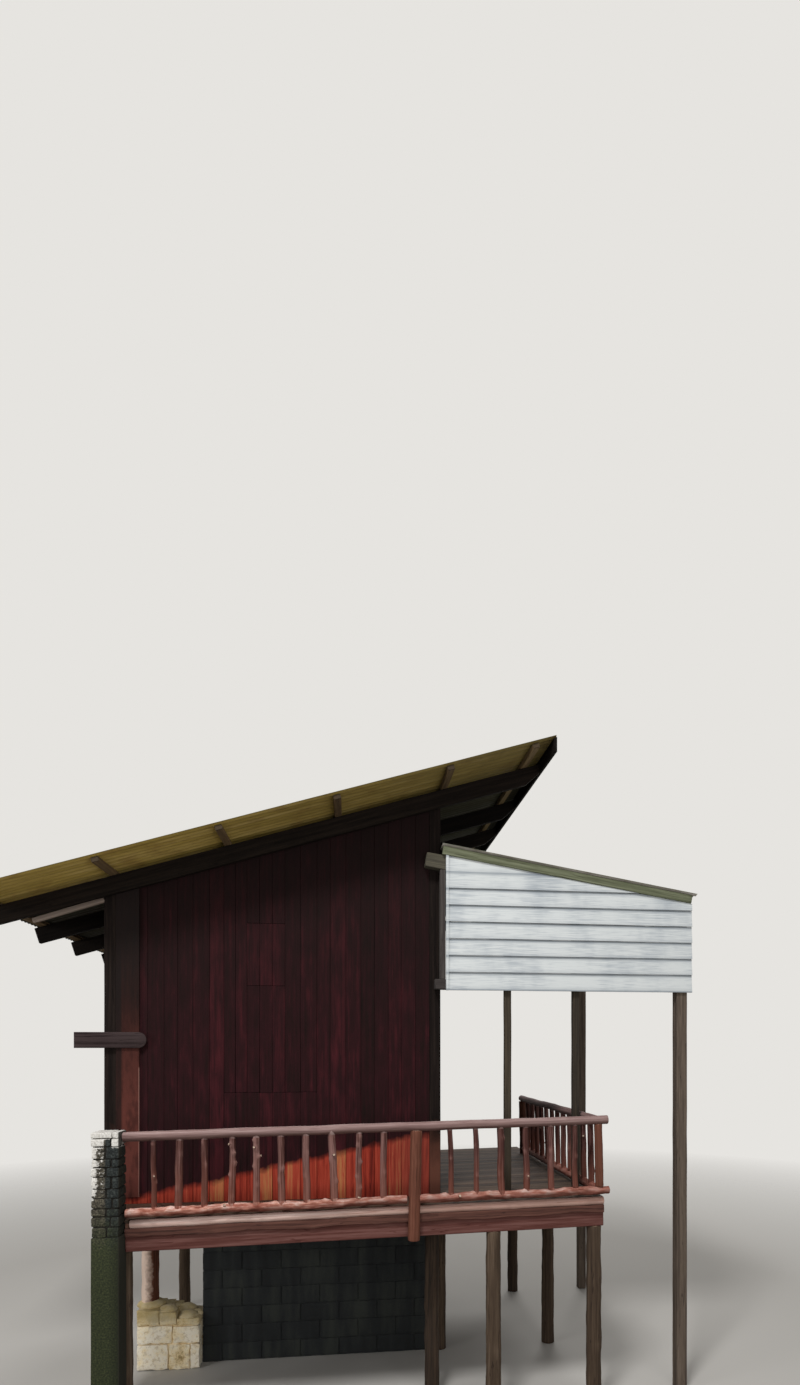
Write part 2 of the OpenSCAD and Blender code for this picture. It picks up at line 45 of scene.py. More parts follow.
eye.sensor_width, eye.lens = 36.0, 19.755
eye.shift_x, eye.shift_y = -51 / 1385, 355.5 / 1385
camera = bpy.data.objects.new("camera", eye)
camera.location = (-0.118, -8.30, 3.177)
camera.rotation_euler = (radians(90), 0, radians(-7.94))
bpy.context.collection.objects.link(camera)
bpy.context.scene.camera = camera
bpy.context.scene.view_settings.view_transform = "Standard"


def linear(code):
    """An sRGB hex colour as the linear one that a shader takes."""
    parts = [int(code[i : i + 2], 16) / 255 for i in (1, 3, 5)]
    return [c / 12.92 if c <= 0.04045 else ((c + 0.055) / 1.055) ** 2.4 for c in parts] + [1.0]


def node(owner, kind, sockets=(), take=0, stops=(), **settings):
    """One node with its settings. A socket is given a value, or the output that feeds it."""
    tree = owner.node_tree
    made = tree.nodes.new("ShaderNode" + kind)
    for name, value in settings.items():
        setattr(made, name, value)
    for name, value in dict(sockets).items():
        if isinstance(value, bpy.types.NodeSocket):
            tree.links.new(value, made.inputs[name])
        else:
            made.inputs[name].default_value = value
    if stops:
        band = made.color_ramp.elements
        band[0].position, band[0].color = stops[0][0], linear(stops[0][1])
        band[1].position, band[1].color = stops[-1][0], linear(stops[-1][1])
        for place, code in stops[1:-1]:
            band.new(place).color = linear(code)
    return made.outputs[take] if made.outputs else None


def material(name):
    """A new material with an empty tree."""
    made = bpy.data.materials.new(name)
    made.use_nodes = True
    made.node_tree.nodes.clear()
    return made


# The backdrop's tone reaches the camera and reflections; the house gets the weaker sky light.
backdrop, sky_light = "#e6e4e0", 0.26
world = bpy.data.worlds.new("studio")
world.use_nodes = True
world.node_tree.nodes.clear()
bpy.context.scene.world = world
rays = node(world, "LightPath")
seen = node(world, "Math", {0: rays, 1: rays.node.outputs["Is Glossy Ray"]}, operation="MAXIMUM")
seen = node(world, "Math", {0: seen, 1: rays.node.outputs["Is Transmission Ray"]}, operation="MAXIMUM")
soft = node(world, "Background", {"Color": linear("#f4f2ee"), "Strength": sky_light})
pale = node(world, "Background", {"Color": linear(backdrop), "Strength": 1.0})
both = node(world, "MixShader", {0: seen, 1: soft, 2: pale})
node(world, "OutputWorld", {"Surface": both})

# Pale floor that fades into the backdrop away from the house. Only the camera sees it pale; it
# throws as little light back up under the house as bare ground does.
floor_paint = material("matt_studio_floor")
place = node(floor_paint, "TexCoord", take=3)
far = node(floor_paint, "VectorMath", {0: place}, 1, operation="LENGTH")
gone = node(floor_paint, "MapRange", {"Value": far, "From Min": 6.0, "From Max": 17.0})
dull = node(floor_paint, "BsdfDiffuse", {"Color": linear("#8a8780")})
matt = node(floor_paint, "BsdfDiffuse", {"Color": linear("#bdbab5")})
matt = node(floor_paint, "MixShader", {0: node(floor_paint, "LightPath"), 1: dull, 2: matt})
open_air = node(floor_paint, "BsdfTransparent")
shade = node(floor_paint, "MixShader", {0: gone, 1: matt, 2: open_air})
node(floor_paint, "OutputMaterial", {"Surface": shade})
disc = bmesh.new()
bmesh.ops.create_circle(disc, cap_ends=True, segments=96, radius=18)
mesh = bpy.data.meshes.new("studio_floor")
disc.to_mesh(mesh)
disc.free()
mesh.materials.append(floor_paint)
studio_floor = bpy.data.objects.new("studio_floor", mesh)
bpy.context.collection.objects.link(studio_floor)

# A high soft box before the house, as the noon light falls, weak ones from the front and the
# left, and one behind for the far side.
for name, spot, aim, wide, watts in (
    ("high_box", (-2.4, -8.8, 13.6), (0.0, -0.5, 2.6), 2.4, 1220),
    ("front_box", (3.0, -12.0, 3.4), (0.0, 0.0, 2.0), 5.0, 260),
    ("left_box", (-9.5, -6.5, 4.5), (-1.0, -1.0, 1.8), 3.0, 240),
    ("back_box", (4.0, 9.0, 12.0), (0.0, 0.5, 2.6), 5.0, 700),
):
    lamp = bpy.data.lights.new(name, "AREA")
    lamp.size, lamp.energy = wide, watts
    box = bpy.data.objects.new(name, lamp)
    box.location = spot
    box.rotation_euler = (Vector(aim) - Vector(spot)).to_track_quat("-Z", "Y").to_euler()
    bpy.context.collection.objects.link(box)


# Column at the front left, where the railing ends. Its foot is rendered smooth and green with
# algae; its head is rough brick in 78 mm courses, limewashed, with a lime cap on top. The wash
# has flaked off to grey in the joints; down the right side the brick is painted slate grey with shade.
CABIN = Matrix.Translation((-2.145, -1.5, 0))  # the cabin's front left corner, at the ground


def started():
    """An empty piece. Each member carries its grain, its own lengthwise place, and its tone."""
    piece = bmesh.new()
    piece.verts.layers.float_vector.new("grain")
    piece.verts.layers.float.new("tone")
    return piece


def lay(piece, member, place, tone):
    """Puts a finished member into its piece, at its place and in its own tone."""
    member.verts.layers.float_vector.verify()
    shade = member.verts.layers.float.get("tone") or member.verts.layers.float.new("tone")
    for v in member.verts:
        v[shade] += tone
    member.transform(place)
    mesh = bpy.data.meshes.new("member")
    member.to_mesh(mesh)
    member.free()
    piece.from_mesh(mesh)
    bpy.data.meshes.remove(mesh)


def finished(name, piece, solid, slot, *finishes):
    """The piece as an object at the origin, with its flat faces crisp and its round ones smooth. The slot is
    not used.

    It rides on the house, stands for the solid, and takes the finishes given."""
    mesh = bpy.data.meshes.new(name)
    piece.to_mesh(mesh)
    piece.free()
    mesh.shade_smooth()
    mesh.set_sharp_from_angle(angle=radians(38))
    for finish in finishes:
        mesh.materials.append(finish)
    made = bpy.data.objects.new(name, mesh)
    bpy.context.collection.objects.link(made)
    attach(made, "root")
    if solid:
        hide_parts(solid)


def ease(member, edges, width, segments=2):
    """Rounds edges of a member off over a width."""
    bmesh.ops.bevel(member, geom=edges, offset=width, segments=segments, profile=0.5, affect="EDGES",
                    material=-1)


def block(piece, low, high, edge, lumps, chance, cuts=3):
    """A cast block or rough stone between two corners, with worn edges and uneven faces."""
    low, high = Vector(low), Vector(high)
    size = high - low
    member = bmesh.new()
    bmesh.ops.create_cube(member, size=1, matrix=Matrix.Diagonal((*size, 1)))
    ease(member, member.edges[:], edge)
    long = [e for e in member.edges if e.calc_length() > 3 * edge]
    bmesh.ops.subdivide_edges(member, edges=long, cuts=cuts, use_grid_fill=True)
    shift = Vector([chance.uniform(0, 40) for _ in range(3)])
    grain = member.verts.layers.float_vector.new("grain")
    for v in member.verts:
        v[grain] = v.co + shift
        v.co += lumps * (noise.noise_vector(v.co * 14 + shift) + 0.5 * noise.noise_vector(v.co * 41 + shift))
        v.co = [min(max(c, -s / 2), s / 2) for c, s in zip(v.co, size)]
    lay(piece, member, CABIN @ Matrix.Translation((low + high) / 2), chance.random())


noise.seed_set(11)  # the faces are uneven in the same way each time the script runs
left, right, near, back, heart = 0.060, 0.272, -0.540, -0.328, -0.435
column_head, brick_foot, course, courses = 2.515, 1.690, 0.078, 10
inset, half_joint = 0.014, 0.003
chance = Random(11)
piece = started()
block(piece, (left, near, 0.0), (right, back, brick_foot), 0.008, 0.003, chance)
block(piece, (left + inset, near + inset, brick_foot - 0.01),
      (right - inset, back - inset, column_head - 0.03), 0.003, 0.001, chance)
for f in piece.faces:
    f.material_index = int(f.calc_center_median().z > brick_foot)
beds = [brick_foot + i * course + (0.010 * chance.uniform(-1, 1) if 0 < i < courses else 0)
        for i in range(courses + 1)]
for i, (z0, z1) in enumerate(zip(beds, beds[1:])):
    joint = left + (0.152 if i % 2 else 0.110) + chance.uniform(-0.006, 0.006)
    for x0, x1 in ((left, joint - half_joint), (joint + half_joint, right)):
        for y0, y1 in ((near, heart - half_joint), (heart + half_joint, back)):
            worn = [chance.uniform(0, 0.006) for _ in range(4)]
            block(piece, (x0 + worn[0], y0 + worn[1], z0 + 0.004), (x1 - worn[2], y1 - worn[3], z1 - 0.003),
                  0.010, 0.006, chance)
crack = left + 0.157
for x0, x1 in ((left, crack), (crack + 0.004, right)):
    block(piece, (x0, near, brick_foot + courses * course), (x1, back, column_head), 0.008, 0.003, chance)


def places(made):
    """Where a point of the material is, as one output, and then as its x, y and z in the frame."""
    spot = node(made, "TexCoord", take=3)
    return spot, *node(made, "SeparateXYZ", {0: spot}).node.outputs


def summed(made, total, *parts):
    """A first value or output with others added to it, each of them times its share."""
    for part, share in parts:
        total = node(made, "Math", {0: part, 1: share, 2: total}, operation="MULTIPLY_ADD")
    return total


def surface(made, skin, rough, relief=None, strength=0.5, depth=0.002, shine=0.5, metal=0.0):
    """Ends a material: its colour, how rough it is, and the relief, as deep as given in metres."""
    sockets = {"Base Color": skin, "Roughness": rough, "Specular IOR Level": shine, "Metallic": metal}
    if relief:
        sockets["Normal"] = node(made, "Bump", {"Height": relief, "Strength": strength, "Distance": depth})
    node(made, "OutputMaterial", {"Surface": node(made, "BsdfPrincipled", sockets)})


def coat(made, skin=None):
    """The output that colours a finished material. When a new one is given, it takes its place."""
    colour = next(n for n in made.node_tree.nodes if n.type == "BSDF_PRINCIPLED").inputs["Base Color"]
    if skin:
        made.node_tree.links.new(skin, colour)
    return colour.links[0].from_socket


def stained(made, mask, colour, ends=(), most=1.0, blend="MIX"):
    """Lays a colour, or an output that gives one, over a finished material as the mask says.

    With two ends, the mask grows from none to its most as its value goes from one to the other."""
    if ends:
        low, high = ends
        mask = node(made, "MapRange", {"Value": mask, "From Min": low, "From Max": high, "To Max": most})
    over = linear(colour) if isinstance(colour, str) else colour
    coat(made, node(made, "MixRGB", {"Fac": mask, "Color1": coat(made), "Color2": over}, blend_type=blend))


# Brick under limewash and a thin render. The wash is chalk white on the cap and down the left
# edge, whitened there by painted sunlight, thin and buff over the middle, and gone on the right,
# where the brick is painted slate grey with shade.
limewash = material("flaked_limewash_on_brick")
spot, across, _, height = places(limewash)
flakes = node(limewash, "TexNoise", {"Vector": spot, "Scale": 42, "Detail": 5, "Roughness": 0.6})
grit = node(limewash, "TexNoise", {"Vector": spot, "Scale": 75, "Detail": 4})
# It holds best on the cap, and is laid on thicker down the left edge as painted sunlight; it holds
# least down the right side and at the damp foot.
left_on = flakes
for source, low, high, least, most in (
    (height, 2.455, 2.475, 0.0, 0.5),
    (across, -2.060, -2.034, 0.26, -0.07),
    (across, -1.985, -1.970, 0.0, -0.15),
    (height, 1.88, 2.05, -0.7, 0.0),
):
    more = node(limewash, "MapRange", {"Value": source, "From Min": low, "From Max": high, "To Min": least,
                                       "To Max": most})
    left_on = node(limewash, "Math", {0: left_on, 1: more}, operation="ADD")
# Under the cap the wash still holds for a course, on the right corner and over the left half.
right_end = node(limewash, "MapRange", {"Value": across, "From Min": -1.934, "From Max": -1.926})
left_half = node(limewash, "MapRange", {"Value": across, "From Min": -1.986, "From Max": -1.996,
                                        "To Max": 0.7})
held = node(limewash, "Math", {0: right_end, 1: left_half}, operation="MAXIMUM")
upper = node(limewash, "MapRange", {"Value": height, "From Min": 2.385, "From Max": 2.400, "To Max": 0.5})
left_on = summed(limewash, left_on, (held, upper))
wash = node(limewash, "ValToRGB", {"Fac": left_on}, stops=((0.47, "#000000"), (0.58, "#ffffff")))
chalk, buff, slate, algae = [node(limewash, "ValToRGB", {"Fac": grit}, stops=stops) for stops in (
    ((0.3, "#bcb8b0"), (0.6, "#e6e3dd")),
    ((0.3, "#1c1a16"), (0.48, "#403c33"), (0.68, "#6a6456")),
    ((0.3, "#131617"), (0.5, "#252928"), (0.7, "#434845")),
    ((0.3, "#1b1f14"), (0.5, "#2e331f"), (0.72, "#43482d")),
)]
# Painted shade darkens the algae towards the right.
algae_painted_shade = node(limewash, "MapRange", {"Value": across, "From Min": -1.960, "From Max": -1.880, "To Max": 0.6})
algae = node(limewash, "MixRGB", {"Fac": algae_painted_shade, "Color1": algae, "Color2": linear("#14160e")})
# On the right the wash gives way to slate grey: painted shade.
painted_shade_side = node(limewash, "MapRange", {"Value": across, "From Min": -1.985, "From Max": -1.970})
skin = node(limewash, "MixRGB", {"Fac": painted_shade_side, "Color1": buff, "Color2": slate})
damp = summed(limewash, height, (flakes, -0.5))
damp = node(limewash, "MapRange", {"Value": damp, "From Min": 1.35, "From Max": 1.70})
skin = node(limewash, "MixRGB", {"Fac": damp, "Color1": algae, "Color2": skin})
surface(limewash, skin, 0.93, summed(limewash, grit, (wash, 0.5)), 0.6, 0.004, 0.3)
stained(limewash, wash, chalk)
stained(limewash, across, "#2b2a22", (-1.884, -1.876), 0.9)  # its right face is painted dark with shade

# Old lime mortar, black with damp, shows in the deep joints.
mortar = material("black_damp_mortar")
grit = node(mortar, "TexNoise", {"Vector": node(mortar, "TexCoord", take=3), "Scale": 90, "Detail": 3})
skin = node(mortar, "ValToRGB", {"Fac": grit}, stops=((0.35, "#171613"), (0.65, "#2f2c27")))
surface(mortar, skin, 0.95, grit, 0.5, 0.002, 0.2)
finished("brick_column", piece, "front_left_column", "column", limewash, mortar)


# Pier and wall under the cabin. The pier is of rough sandstone blocks in uneven courses, with
# a mortar bed round the foot of its post; the wall runs on from it in cast blocks, painted dark
# with the shade under the house.
cabin_wide, pier_wide, bed = 2.880, 0.600, 0.003
chance = Random(5)
piece = started()
for x0, x1, z0, z1 in (
    (0.0, 0.300, 0.0, 0.258), (0.300, 0.508, 0.0, 0.252), (0.508, pier_wide, 0.0, 0.250),
    (0.0, 0.340, 0.262, 0.440), (0.340, pier_wide, 0.256, 0.425),
    (0.0, 0.215, 0.444, 0.600), (0.215, 0.380, 0.444, 0.570), (0.380, pier_wide, 0.430, 0.505),
):
    for y in (1.0, 1.2):
        block(piece, (x0 + bed, y + bed, z0 + bed), (x1 - bed, y + 0.2 - bed, z1 - bed),
              0.012, 0.012, chance, 7)
block(piece, (0.030, 1.030, 0.004), (0.570, 1.370, 0.480), 0.006, 0.002, chance)
block(piece, (0.020, 1.020, 0.480), (0.300, 1.380, 0.585), 0.006, 0.002, chance)


def cut_off(piece, point, facing, snap=0.00001):
    """Takes away what lies beyond a plane on its facing side, and closes the cut."""
    bmesh.ops.bisect_plane(piece, geom=piece.verts[:] + piece.edges[:] + piece.faces[:], dist=snap,
                           plane_co=point, plane_no=facing, clear_outer=True)
    bmesh.ops.holes_fill(piece, edges=[e for e in piece.edges if e.is_boundary])


# The broken top course: domes of stone and mortar, each with its place, radius and height.
for x, y, radius, rise, z in (
    (0.10, 1.20, 0.14, 0.06, 0.60), (0.28, 1.10, 0.09, 0.05, 0.57), (0.47, 1.10, 0.10, 0.05, 0.505),
    (0.42, 1.26, 0.12, 0.06, 0.51), (0.55, 1.16, 0.06, 0.04, 0.50),
):
    member = bmesh.new()
    bmesh.ops.create_uvsphere(member, u_segments=18, v_segments=10, radius=1,
                              matrix=Matrix.Diagonal((radius, radius * 0.9, rise, 1)))
    cut_off(member, (0, 0, -0.012), (0, 0, -1))
    grain = member.verts.layers.float_vector.new("grain")
    for v in member.verts:
        v[grain] = v.co + Vector((x, y, 0))
        v.co += 0.010 * noise.noise_vector(v.co * 16 + Vector((x, y, 3)))
    lay(piece, member, CABIN @ Matrix.Translation((x, y, z)), 0.6)

# Quarried sandstone: dull, coarse and warm, with darker clouds about 90 mm across.
sandstone = material("split_sandstone")
spot, _, _, height = places(sandstone)
tone = node(sandstone, "Attribute", take=2, attribute_name="tone")
cloud = node(sandstone, "TexNoise", {"Vector": spot, "Scale": 11, "Detail": 4, "Roughness": 0.6})
sand = node(sandstone, "TexNoise", {"Vector": spot, "Scale": 140, "Detail": 3})
mix = summed(sandstone, cloud, (tone, 0.25), (sand, 0.35))
skin = node(sandstone, "ValToRGB", {"Fac": mix},
            stops=((0.50, "#a08658"), (0.62, "#e9d0a0"), (0.74, "#fbe9c2"), (0.92, "#fff5e0")))
surface(sandstone, skin, 0.9, mix, 0.6, 0.003)
# Rain has stained it in brown spots, some 15 to 40 mm wide.
spots = node(sandstone, "TexNoise", {"Vector": spot, "Scale": 24, "Detail": 5, "Roughness": 0.7})
stained(sandstone, spots, "#a98d60", (0.50, 0.62), 0.45)
# Moss and earth have taken the broken top course.
stained(sandstone, summed(sandstone, height, (cloud, 0.25)), "#a8945f", (0.53, 0.66), 0.75)
finished("pier_blocks", piece, "masonry_pier", "masonry", sandstone)

block_long, block_high, gap = 0.39, 0.185, 0.004
piece = started()
for i in range(9):
    x = pier_wide - (0.0 if i % 2 else block_long / 2)
    while x < cabin_wide:
        block(piece, (max(x, pier_wide) + gap, 1.152, i * block_high + gap),
              (min(x + block_long, cabin_wide) - gap, 1.348, (i + 1) * block_high - gap),
              0.008, 0.004, chance)
        x += block_long
block(piece, (0.605, 1.165, 0.002), (2.875, 1.335, 1.662), 0.004, 0.001, chance)


def marks(made, where, per_metre, detail, rough=0.5):
    """Soft marks, about as many to the metre along each axis as given."""
    stretched = node(made, "Mapping", {"Vector": where, "Scale": per_metre})
    return node(made, "TexNoise", {"Vector": stretched, "Scale": 1, "Detail": detail, "Roughness": rough})


# Cast concrete blocks, blue-grey but painted near black with the shade under the house, with
# darker washes down the face, about 110 mm wide and 600 mm long.
concrete = material("shade_darkened_concrete_block")
spot = node(concrete, "TexCoord", take=3)
tone = node(concrete, "Attribute", take=2, attribute_name="tone")
drips = marks(concrete, spot, (9, 9, 1.6), 4)
grit = node(concrete, "TexNoise", {"Vector": spot, "Scale": 110, "Detail": 3})
mix = summed(concrete, drips, (tone, 0.2), (grit, 0.3))
skin = node(concrete, "ValToRGB", {"Fac": mix},
            stops=((0.5, "#101213"), (0.72, "#1b1e1f"), (0.95, "#2e312d")))
surface(concrete, skin, 0.92, mix, 0.6, 0.004)
finished("wall_blocks", piece, "masonry_wall", "masonry", concrete)


# Round posts that carry the deck, the porch and the cabin, and the short one on the pier.
# Debarked trunks, set in the ground upright and sawn off under the beams; grey-brown with age.
deck_top, deck_pivot, deck_lean = 1.835, 2.271, radians(1.23)
beam_foot, sill_foot, post_radius = -0.262, 1.665, 0.070
DECK = CABIN @ Matrix.Translation((deck_pivot, 0, deck_top)) @ Matrix.Rotation(-deck_lean, 4, "Y")


def wood(name, shades, width, fibre, rough, depth=0.002, contrast=1.0, split=0.22, shine=0.3):
    """Timber whose streaks and fibres, of the widths given in metres, run along each member."""
    made = material(name)
    grain = node(made, "Attribute", take=1, attribute_name="grain")
    tone = node(made, "Attribute", take=2, attribute_name="tone")
    streaks = marks(made, grain, (1.3, 1 / width, 1 / width), 4, 0.6)
    fibres = marks(made, grain, (7, 1 / fibre, 1 / fibre), 3, 0.6)
    checks = marks(made, grain, (0.9, 0.5 / width, 0.5 / width), 2)
    checks = node(made, "Math", {0: checks, 1: 0.5, 2: 0.007}, operation="COMPARE")
    mix = summed(made, -0.46, (tone, 0.42), (streaks, 1.05 * contrast), (fibres, 0.50 * contrast),
                 (checks, -split))
    steps = [0.08 + 0.84 * i / (len(shades) - 1) for i in range(len(shades))]
    skin = node(made, "ValToRGB", {"Fac": mix}, stops=list(zip(steps, shades)))
    surface(made, skin, rough, summed(made, fibres, (checks, -2 * split)), 0.55, depth, shine)
    return made


def end_grain(name, shades):
    """Sawn end of a round log: rings about 6 mm apart round the heart."""
    made = material(name)
    grain = node(made, "Attribute", take=1, attribute_name="grain")
    flat = node(made, "Mapping", {"Vector": grain, "Scale": (0, 1, 1)})
    warp = node(made, "TexNoise", {"Vector": grain, "Scale": 30, "Detail": 2})
    heart = node(made, "VectorMath", {0: flat}, 1, operation="LENGTH")
    rings = summed(made, heart, (warp, 0.012))
    rings = node(made, "Math", {0: rings, 1: 2 * pi / 0.006}, operation="MULTIPLY")
    rings = summed(made, 0.5, (node(made, "Math", {0: rings}, operation="SINE"), 0.3))
    skin = node(made, "ValToRGB", {"Fac": rings}, stops=list(zip((0.2, 0.8), shades)))
    surface(made, skin, 0.85)
    return made


def log(piece, place, start, end, radius, chance, taper=0.95, crook=0.0, knots=(), sides=16, swelling=1.0,
        burr=0.0, step=0.045, tone=None):
    """A peeled log between two points, with its knots.

    A knot is how far along it is, its turn, its height, and the length of its stub if it has one.
    An upright log's turn is counted from the house's right, so that -pi / 2 faces the front."""
    start, end = Vector(start), Vector(end)
    length = (end - start).length
    member = bmesh.new()
    bmesh.ops.create_cone(member, cap_ends=True, segments=sides, radius1=radius,
                          radius2=radius * taper, depth=length)
    ease(member, [e for f in member.faces if abs(f.normal.z) > 0.9 for e in f.edges], radius * 0.13)
    long = [e for e in member.edges if abs(e.verts[0].co.z - e.verts[1].co.z) > length / 2]
    bmesh.ops.subdivide_edges(member, edges=long, cuts=max(3, int(length / step)))
    for f in member.faces:
        f.material_index = int(abs(f.normal.z) > 0.97)
    shift = Vector((chance.uniform(0, 60), 0, 0))
    grain = member.verts.layers.float_vector.new("grain")
    shade = member.verts.layers.float.new("tone")
    for v in member.verts:
        outwards = Vector((v.co.x, v.co.y, 0))
        v[grain] = shift + Vector((v.co.z, v.co.x, v.co.y))
        along = v.co.z / length + 0.5
        turn = atan2(v.co.y, v.co.x)
        if outwards.length > radius * 0.5:
            flat = Vector((cos(turn) * 1.2, sin(turn) * 1.2, v.co.z * 5 + shift.x))
            swell = swelling * (0.10 * noise.noise(flat) + 0.05 * noise.noise(flat * 2.7)) - 0.04
            swell += burr * noise.noise(Vector((cos(turn) * 1.8, sin(turn) * 1.8, v.co.z * 12 + shift.x)))
            for far, facing, rise, *_ in knots:
                across = radius * abs((turn - facing + pi) % (2 * pi) - pi)
                away = ((v.co.z - (far - 0.5) * length) ** 2 + across ** 2) ** 0.5
                swell += rise * exp(-(away / (radius * 0.6)) ** 2)
                v[shade] += min(1.0, 1.8 * rise) * exp(-(away / (radius * 0.7)) ** 2)
            v.co += outwards * swell
        bow = crook * sin(pi * along)
        v.co.x += bow * noise.noise(Vector((v.co.z * 3.1, shift.x, 0)))
        v.co.y += bow * noise.noise(Vector((v.co.z * 3.1, shift.x, 7)))
    for far, facing, rise, *stub in knots:
        if not any(stub):
            continue
        reach = stub[0] + radius * 0.5
        out = Vector((cos(facing), sin(facing), 0.25)).normalized()
        spot = Vector((cos(facing) * radius * 0.8, sin(facing) * radius * 0.8, (far - 0.5) * length))
        stand = Matrix.Translation(spot + out * reach / 2) @ out.to_track_quat("Z", "X").to_matrix().to_4x4()
        twig = bmesh.ops.create_cone(member, cap_ends=True, segments=8, radius1=radius * 0.42,
                                     radius2=radius * 0.30, depth=reach, matrix=stand)
        cut = max({f for v in twig["verts"] for f in v.link_faces}, key=lambda f: f.normal.dot(out))
        cut.material_index = 1
        for v in twig["verts"]:
            v[grain] = Vector((v.co.z, (v.co - spot).x, (v.co - spot).y))
    run = (end - start).normalized()
    turned = Vector((0, 0, 1)).rotation_difference(run) if run.z > 0.9 else run.to_track_quat("Z", "X")
    lay(piece, member, place @ Matrix.Translation((start + end) / 2) @ turned.to_matrix().to_4x4(),
        chance.random() if tone is None else tone)


# Debarked hardwood, silvered outside; streaks 25 mm wide and fibres drawn at 4 mm, coarser than life.
post_wood = wood("weathered_round_timber", ("#1d1610", "#382b21", "#514234", "#6e5d4e"),
                 0.025, 0.004, 0.88, depth=0.003)
post_end = end_grain("sawn_end_of_post", ("#6e5847", "#a58d74"))
chance = Random(21)


def under_deck(x):
    """Height of the leaning beams' underside above the ground."""
    return deck_top + (x - deck_pivot) * tan(deck_lean) + beam_foot


piece = started()
for x, y in ((3.300, -0.330), (4.200, -0.330), (0.237, -0.2577)):
    log(piece, CABIN, (x, y, 0), (x, y, under_deck(x) + 0.001), post_radius, chance, 0.94,
        knots=((0.35, -1.2, 0.15), (0.7, 2.0, 0.12)))
finished("front_posts", piece, "front_stilts", "stilt_wood", post_wood, post_end)

piece = started()
for x in (3.020, 4.200):
    for y in (1.200, 2.950):
        log(piece, CABIN, (x, y, 0), (x, y, under_deck(x) + 0.001), post_radius, chance, 0.94)
finished("porch_round_posts", piece, "porch_stilts", "stilt_wood", post_wood, post_end)

piece = started()
for x, y in ((0.07, 0.07), (2.81, 0.07), (0.07, 2.93), (2.81, 2.93), (1.44, 2.93)):
    log(piece, CABIN, (x, y, 0), (x, y, sill_foot), post_radius, chance, 0.94, knots=((0.5, x + y, 0.12),))
finished("cabin_round_posts", piece, "cabin_stilts", "stilt_wood", post_wood, post_end)

# The pier's post is fresher: dark red-brown, with a painted sunlit highlight that turns its open left
# side pinkish cream.
fresh_post = wood("red_brown_round_timber", ("#351b12", "#56301f", "#734634", "#8e614d"),
                  0.022, 0.004, 0.85, depth=0.003)
spot, across, _, _ = places(fresh_post)
cloud = node(fresh_post, "TexNoise", {"Vector": spot, "Scale": 22, "Detail": 4})
# Painted sunlight: the left side turns pinkish cream.
stained(fresh_post, summed(fresh_post, across, (cloud, 0.09)), "#f2d8c6", (-1.975, -2.045), 0.9)
piece = started()
log(piece, CABIN, (0.087, 1.200, 0.600), (0.087, 1.200, sill_foot), 0.087, chance, 0.98,
    knots=((0.4, -1.9, 0.14),))
finished("pier_round_post", piece, "pier_post", "stilt_wood", fresh_post, post_end)


# Floor frame. Sills and joists under the cabin, and the deck's beams and joists, which lean
# with it. Chainsawn hardwood, nailed butt to butt, dark where it never sees the sun.
cabin_deep, sill_top, sill, clear = 3.000, 1.845, 0.120, 0.0003


def timber(piece, place, low, high, chance, edge=0.004, wander=0.0015, step=0.25, tone=None, thin=0.0):
    """A sawn timber between two corners, its grain along its longest side, its edges eased.

    Thin is how much slimmer its upper edge is, as in a feather-edged board."""
    low, high = Vector(low), Vector(high)
    size = high - low
    run = max(range(3), key=lambda k: size[k])
    member = bmesh.new()
    bmesh.ops.create_cube(member, size=1, matrix=Matrix.Diagonal((*size, 1)))
    for v in member.verts:
        if thin and v.co.z > 0 and v.co.y < 0:
            v.co.y += thin
    ease(member, member.edges[:], edge, 1)
    long = [e for e in member.edges if abs(e.verts[0].co[run] - e.verts[1].co[run]) > size[run] / 2]
    bmesh.ops.subdivide_edges(member, edges=long, cuts=max(1, int(size[run] / step)))
    shift = Vector((chance.uniform(0, 60), chance.uniform(-0.3, 0.3), chance.uniform(-0.3, 0.3)))
    grain = member.verts.layers.float_vector.new("grain")
    for v in member.verts:
        v[grain] = shift + Vector((v.co[run], v.co[(run + 1) % 3], v.co[(run + 2) % 3]))
        push = wander * noise.noise_vector(v.co * 3.3 + shift)
        push[run] = 0
        v.co += push
    lay(piece, member, place @ Matrix.Translation((low + high) / 2),
        chance.random() if tone is None else tone)


# Hardwood beams, sawn and left bare: brown-black, with streaks some 30 mm wide.
frame_wood = wood("bare_hardwood_beam", ("#2a1c17", "#472f26", "#654538", "#80604f"), 0.030, 0.005, 0.85)
chance = Random(31)
inner_near, inner_far = sill + clear, cabin_deep - sill - clear
piece = started()
for y in (0.0, cabin_deep - sill):
    timber(piece, CABIN, (0, y, sill_foot), (cabin_wide, y + sill, sill_top), chance)
for x in (0.0, cabin_wide - sill):
    timber(piece, CABIN, (x, inner_near, sill_foot), (x + sill, inner_far, sill_top), chance)
timber(piece, CABIN, (inner_near, 1.190, sill_foot), (cabin_wide - sill - clear, 1.310, 1.755), chance)
finished("sill_beams", piece, "cabin_sills", "frame_wood", frame_wood)

piece = started()
for i in range(1, 5):
    x = sill + i * 0.516
    timber(piece, CABIN, (x, inner_near, 1.755), (x + 0.060, inner_far, sill_top), chance)
finished("floor_joists", piece, "cabin_joists", "frame_wood", frame_wood)


def deck_u(x, w):
    """Distance along the leaning deck of a point above the cabin's x, at height w over the boards."""
    return (x - deck_pivot + w * sin(deck_lean)) / cos(deck_lean)


